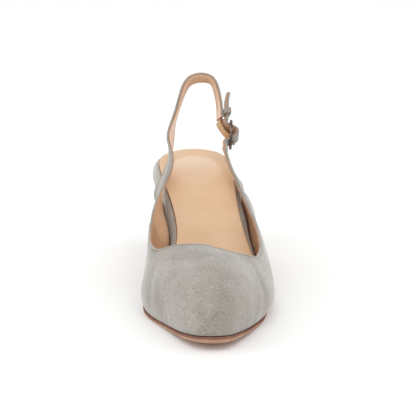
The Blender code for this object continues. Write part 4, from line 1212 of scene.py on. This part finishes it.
def open_ring(curve, count, last):
    """Outline from the toe tip along both sides to a straight end across at last."""
    ring = split_ring(curve, 400)
    outer, inner = ring[:401], ring[(800 - np.arange(401)) % 800]
    keep = outer[:, 1] < last
    at = np.linspace(0, 1, count)
    sides = []
    for side in (outer, inner):
        end = np.array([np.interp(last, side[:, 1], side[:, 0]), last])
        path = np.vstack([side[keep], [end]])
        way = lengths_along(path if side is outer else sides[0])
        if side is outer:
            path = np.stack([np.interp(at * way[-1], way, path[:, k]) for k in (0, 1)], 1)
        else:
            path = np.stack([np.interp(sides[0][:, 1], path[:, 1], path[:, 0]), sides[0][:, 1]], 1)
        sides.append(path)
    middle = (sides[0][-1] + sides[1][-1]) / 2
    return np.vstack([sides[0], [middle], sides[1][:0:-1]])


# Outsole: a bevelled tread, a paler lower edge painted light from the floor, a groove, and a rough upper edge painted
# dark as shadow under the upper's overhang.
SOLE_SIDE = table(
    "share inwards kind",
    (0.0, 0.00090, 1),
    (0.05, 0.00040, 1),
    (0.16, 0.00010, 1),
    (0.36, 0.0, 1),
    (0.54, 0.00004, 1),
    (0.60, 0.00030, 2),
    (0.66, 0.00006, 2),
    (0.80, 0.0, 2),
    (0.93, 0.00008, 2),
    (1.0, 0.00050, 2),
)
breast = BREAST * LENGTH - CLEARANCE
rings = []
for share, inwards in zip(SOLE_SIDE["share"], SOLE_SIDE["inwards"]):
    ring = open_ring(inset(SOLE_OUTLINE, inwards), 240, breast)
    ragged = 0.00009 * np.sin(np.arange(len(ring)) * 1.9 + share * 40) * (share > 0.6) * (share < 0.97)
    plan = ring + ragged[:, None] * [1, 0]
    thick = sole_top(ring[:, 1]) - tread_height(ring[:, 1])
    rings.append(lifted(plan, tread_height(ring[:, 1]) + thick * share))
outsole = stack(
    "outsole_leather", rings, [TREAD, SOLE_EDGE_FLOOR_LIT, SOLE_EDGE_PAINTED_SHADOW], SOLE_SIDE["kind"].astype(int), 30, top_kind=2, bottom_kind=0
)
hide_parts("outsole")


# Heel block and its top lift.
def heel_half(side, inwards=0.0, count=110):
    """Half outline from the middle of the breast round a side to the back."""
    ring = inset(SOLE_OUTLINE, HEEL_INSET + inwards)
    back = ring[np.argmax(ring[:, 1])]
    rows = ring[(ring[:, 1] > BREAST * LENGTH) & ((ring[:, 0] - back[0]) * side > 0)]
    rows = rows[np.argsort(rows[:, 1])]
    corner = np.array([rows[0, 0], BREAST * LENGTH])
    front = corner * np.linspace(0, 1, 13)[:, None] ** [1, 0]
    curve = np.vstack([[corner], rows, [back]])
    way = lengths_along(curve)
    even = np.linspace(0, way[-1], count)
    curve = np.stack([np.interp(even, way, curve[:, k]) for k in (0, 1)], 1)
    return np.vstack([front[:-1], curve])


def heel_ring(down):
    """Heel outline a share of the way down, with its height."""
    ring = np.vstack([heel_half(1), heel_half(-1)[-2:0:-1]])
    middle = (ring[:, 0].max() + ring[:, 0].min()) / 2
    across = HEEL_BASE_WIDTH / np.ptp(ring[:, 0])
    along = HEEL_BASE_LENGTH / np.ptp(ring[:, 1])
    taper = 1 - (1 - down) ** HEEL_CURVE
    back = ring[:, 1].max()
    base = TOP_LIFT_THICKNESS + CLEARANCE
    x = middle + (ring[:, 0] - middle) * (1 + (across - 1) * taper)
    y = back + (ring[:, 1] - back) * (1 + (along - 1) * taper) - HEEL_UNDERCUT * LENGTH * taper
    top = sole_top(ring[:, 1])
    return np.column_stack([x, y, top + (base - top) * down])


downs = np.concatenate([[1, 0.992], np.linspace(0.98, 0.02, 30), [0.006, 0]])
rings = []
for down in downs:
    ring = heel_ring(down)
    tuck = 0.0006 * (smooth((0.02 - down) / 0.02) + smooth((down - 0.985) / 0.015))
    centre = ring[:, :2].mean(axis=0)
    ring[:, :2] -= unit(ring[:, :2] - centre) * tuck
    rings.append(ring)
heel = stack("heel_cover", rings, [HEEL_SUEDE], columns=12, crease=40)
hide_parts("heel")

base = heel_ring(1)[:, :2]
rings = []
for share, inwards in ((0, 0.0007), (0.06, 0.00025), (0.16, 0), (0.78, 0), (0.84, 0.00035), (0.90, 0), (1.0, 0.0001)):
    plan = base - unit(base - base.mean(axis=0)) * inwards
    rings.append(lifted(plan, np.full(len(base), share * TOP_LIFT_THICKNESS)))
lift = stack("top_lift_rubber", rings, [RUBBER], columns=12)
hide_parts("top_lift")


# The buckle in the billet's plane: frame, centre bar and prong, and the tan loop that holds them.
buckle_at, run, across, face = buckle_axes()
buckle_width = STRAP_WIDTH + 2 * BUCKLE_BAR + 2 * BUCKLE_SIDE_ROOM


def in_buckle(flat):
    """World points of pairs: along the strap, away from the foot."""
    flat = np.atleast_2d(flat)
    return buckle_at + flat[:, :1] * run + flat[:, 1:] * face


def in_flat(vector):
    """Its parts along the strap and away from the foot."""
    return np.array([vector @ run, vector @ face])


def repeat(vector, count):
    """The same direction for every point of a path."""
    return np.repeat(vector[None], count, axis=0)


def rounded_frame(length, width, radius, steps):
    """Rectangle with rounded corners, its sides with points of their own, and the outward directions."""
    points, outwards = [], []
    for turn, sides in ((0, (1, 1)), (90, (-1, 1)), (180, (-1, -1)), (270, (1, -1))):
        centre = np.array([length / 2 - radius, width / 2 - radius]) * sides
        for angle in np.radians(np.linspace(turn, turn + 90, steps)):
            out = np.array([math.cos(angle), math.sin(angle)])
            points.append(centre + radius * out)
            outwards.append(out)
    return np.array(points), np.array(outwards)


path, out = rounded_frame(BUCKLE_LENGTH - BUCKLE_BAR, buckle_width - BUCKLE_BAR, BUCKLE_BAR, 12)
section = flat_section(BUCKLE_BAR, 0.92 * BUCKLE_BAR, 0.40 * BUCKLE_BAR, 5)
ring = swept(
    buckle_at + path[:, :1] * run + path[:, 1:] * across,
    out[:, :1] * run + out[:, 1:] * across,
    repeat(face, len(path)),
    section,
    closed=True,
)
ends_of_bar = np.linspace(-1, 1, 9)[:, None] * across * (buckle_width - BUCKLE_BAR) / 2 + buckle_at
bar = swept(ends_of_bar, repeat(run, 9), repeat(face, 9), round_section(0.95 * BUCKLE_BAR))
buckle = put_mesh("buckle_casting", *joined(ring, bar), [BRONZE])
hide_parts("buckle_frame")

eye_radius = BUCKLE_BAR / 2 + CLEARANCE + PRONG_EYE / 2
angle = np.arange(40) * 2 * math.pi / 40
eye_flat = np.stack([np.cos(angle), np.sin(angle)], 1)
eye = swept(
    in_buckle(eye_flat * eye_radius),
    repeat(across, 40),
    eye_flat[:, :1] * run + eye_flat[:, 1:] * face,
    flat_section(PRONG_THICKNESS, PRONG_EYE, 0.3 * PRONG_EYE),
    closed=True,
)
rest_height = (BUCKLE_BAR + PRONG_THICKNESS) / 2 + CLEARANCE
reach = BUCKLE_LENGTH / 2
pin_flat = [(-eye_radius, PRONG_THICKNESS * 0.4), (-0.5 * reach, 0.8 * rest_height), (-reach, rest_height)]
share = np.linspace(0, 1, 30)
pin_path = in_buckle(spline([0, 0.5, 1], pin_flat, share))
pin_run = unit(np.gradient(pin_path, axis=0))
rounded = np.sqrt(np.clip(1 - np.clip((share - 0.93) / 0.07, 0, 1) ** 2, 0.02, 1))
pin = swept(
    pin_path,
    repeat(across, 30),
    np.cross(pin_run, across),
    round_section(PRONG_THICKNESS, 16),
    size=(1 - 0.45 * share**2) * rounded,
)
prong = put_mesh("buckle_pin", *joined(eye, pin), [BRONZE])
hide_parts("buckle_prong")

end = TOP_ROWS[0, 0]
_, end_width, end_out = (vectors[0] for vectors in strap_frame(np.array([end]), SLING["lean"][:1]))
end_run = unit(strap_direction(np.array([end]))[0])
middle = (top_edge(end)[0] + lower_edge(end)[0]) / 2
loop_start = middle - end_out * WALL / 2 - end_run * (2 * CLEARANCE + LOOP_THICKNESS / 2)
start = in_flat(loop_start - buckle_at)
lead = in_flat(-end_run)
wrap = BUCKLE_BAR / 2 + 1.5 * CLEARANCE + LOOP_THICKNESS / 2
turns = np.radians(np.linspace(90, 270, 9) + LOOP_TURN)
bend = wrap * np.stack([np.cos(turns), np.sin(turns)], 1)
legs = (LOOP_THICKNESS + CLEARANCE) / 2
beside = unit(np.array([lead[1], -lead[0]]))
sag = start * 0.5 - beside * LOOP_SAG
leg = np.array([start, start + lead * LOOP_THICKNESS, sag])
flat = np.vstack([leg + beside * legs, bend, leg[::-1] - beside * legs])
way = lengths_along(flat)
flat = spline(way, flat, np.linspace(0, way[-1], 110))
loop_path = in_buckle(flat)
loop_run = unit(np.gradient(loop_path, axis=0))
share = np.clip(np.linalg.norm(flat, axis=1) / np.linalg.norm(start), 0, 1)[:, None]
loop_width = unit(across * (1 - share) + end_width * share)
loop_width = unit(loop_width - loop_run * (loop_width * loop_run).sum(axis=1)[:, None])
section = flat_section(STRAP_WIDTH - 2 * LOOP_THICKNESS, LOOP_THICKNESS, 0.25 * LOOP_THICKNESS, 4)
points, faces = swept(loop_path, loop_width, np.cross(loop_run, loop_width), section)
sides = np.arange(16)
edge_kind = np.isin(sides, (15, 0, 1, 2, 7, 8, 9, 10)).astype(int)
kinds = np.concatenate([np.tile(edge_kind, 109), [1, 1]])
loop = put_mesh("loop_strap", points, faces, [LOOP_LEATHER, LOOP_EDGE], kinds)
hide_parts("buckle_loop")

# Keeper round the billet above the buckle.
at_keeper = np.array([KEPT])
low, high = lower_edge(KEPT)[0], top_edge(KEPT)[0]
kept_width = unit(high - low)
kept_out = facing(at_keeper, np.array([[0.5]]))[0, 0]
kept_run = unit(np.cross(kept_width, kept_out))
kept_out = unit(np.cross(kept_run, kept_width))
kept_at = (low + high) / 2 - kept_out * WALL / 2
room = 4 * CLEARANCE + KEEPER_THICKNESS
path, out = rounded_frame(STRAP_WIDTH + room, WALL + room, 0.9 * KEEPER_THICKNESS, 8)
keeper = put_mesh(
    "keeper_loop",
    *swept(
        kept_at + path[:, :1] * kept_width + path[:, 1:] * kept_out,
        repeat(kept_run, len(path)),
        out[:, :1] * kept_width + out[:, 1:] * kept_out,
        flat_section(KEEPER_LENGTH, KEEPER_THICKNESS, 0.3 * KEEPER_THICKNESS),
        closed=True,
    ),
    [SUEDE],
)
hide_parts("keeper")

# Floor, light and camera.
paper = Finish("floor_paper", (0.975, 0.975, 0.97), 0.9)
tone = paper.mix(paper.noise(0.25, 2.0, 0.5), (0.97, 0.97, 0.965), (0.98, 0.98, 0.975))
floor_paper = paper.done(Base_Color=tone)
bpy.ops.mesh.primitive_plane_add(size=6, location=(0, 0, 0))
floor = bpy.context.object
floor.name = "floor"
floor.data.materials.append(floor_paper)

world = bpy.data.worlds.new("studio")
bpy.context.scene.world = world
world.use_nodes = True
world.node_tree.nodes["Background"].inputs["Color"].default_value = (1, 1, 1, 1)
world.node_tree.nodes["Background"].inputs["Strength"].default_value = SKY

for name, place, size, power in LAMPS:
    lamp = bpy.data.lights.new(name, "AREA")
    lamp.shape = "DISK"
    lamp.size = size
    lamp.energy = power
    holder = bpy.data.objects.new(name, lamp)
    holder.location = place
    aim = np.array([0, 0.03, 0.04]) - np.array(place)
    level = math.hypot(aim[0], aim[1])
    holder.rotation_euler = (math.atan2(level, -aim[2]), 0, math.atan2(-aim[0], aim[1]))
    bpy.context.scene.collection.objects.link(holder)

camera = bpy.data.cameras.new("camera")
camera.lens = 131.97
camera.sensor_width = 36
view = bpy.data.objects.new("camera", camera)
view.location = (-0.05278, -0.94404, 0.32557)
view.rotation_euler = (math.radians(90 - 15.2259), 0, math.radians(-3.3586))
bpy.context.scene.collection.objects.link(view)
bpy.context.scene.camera = view
bpy.context.scene.view_settings.view_transform = "Standard"
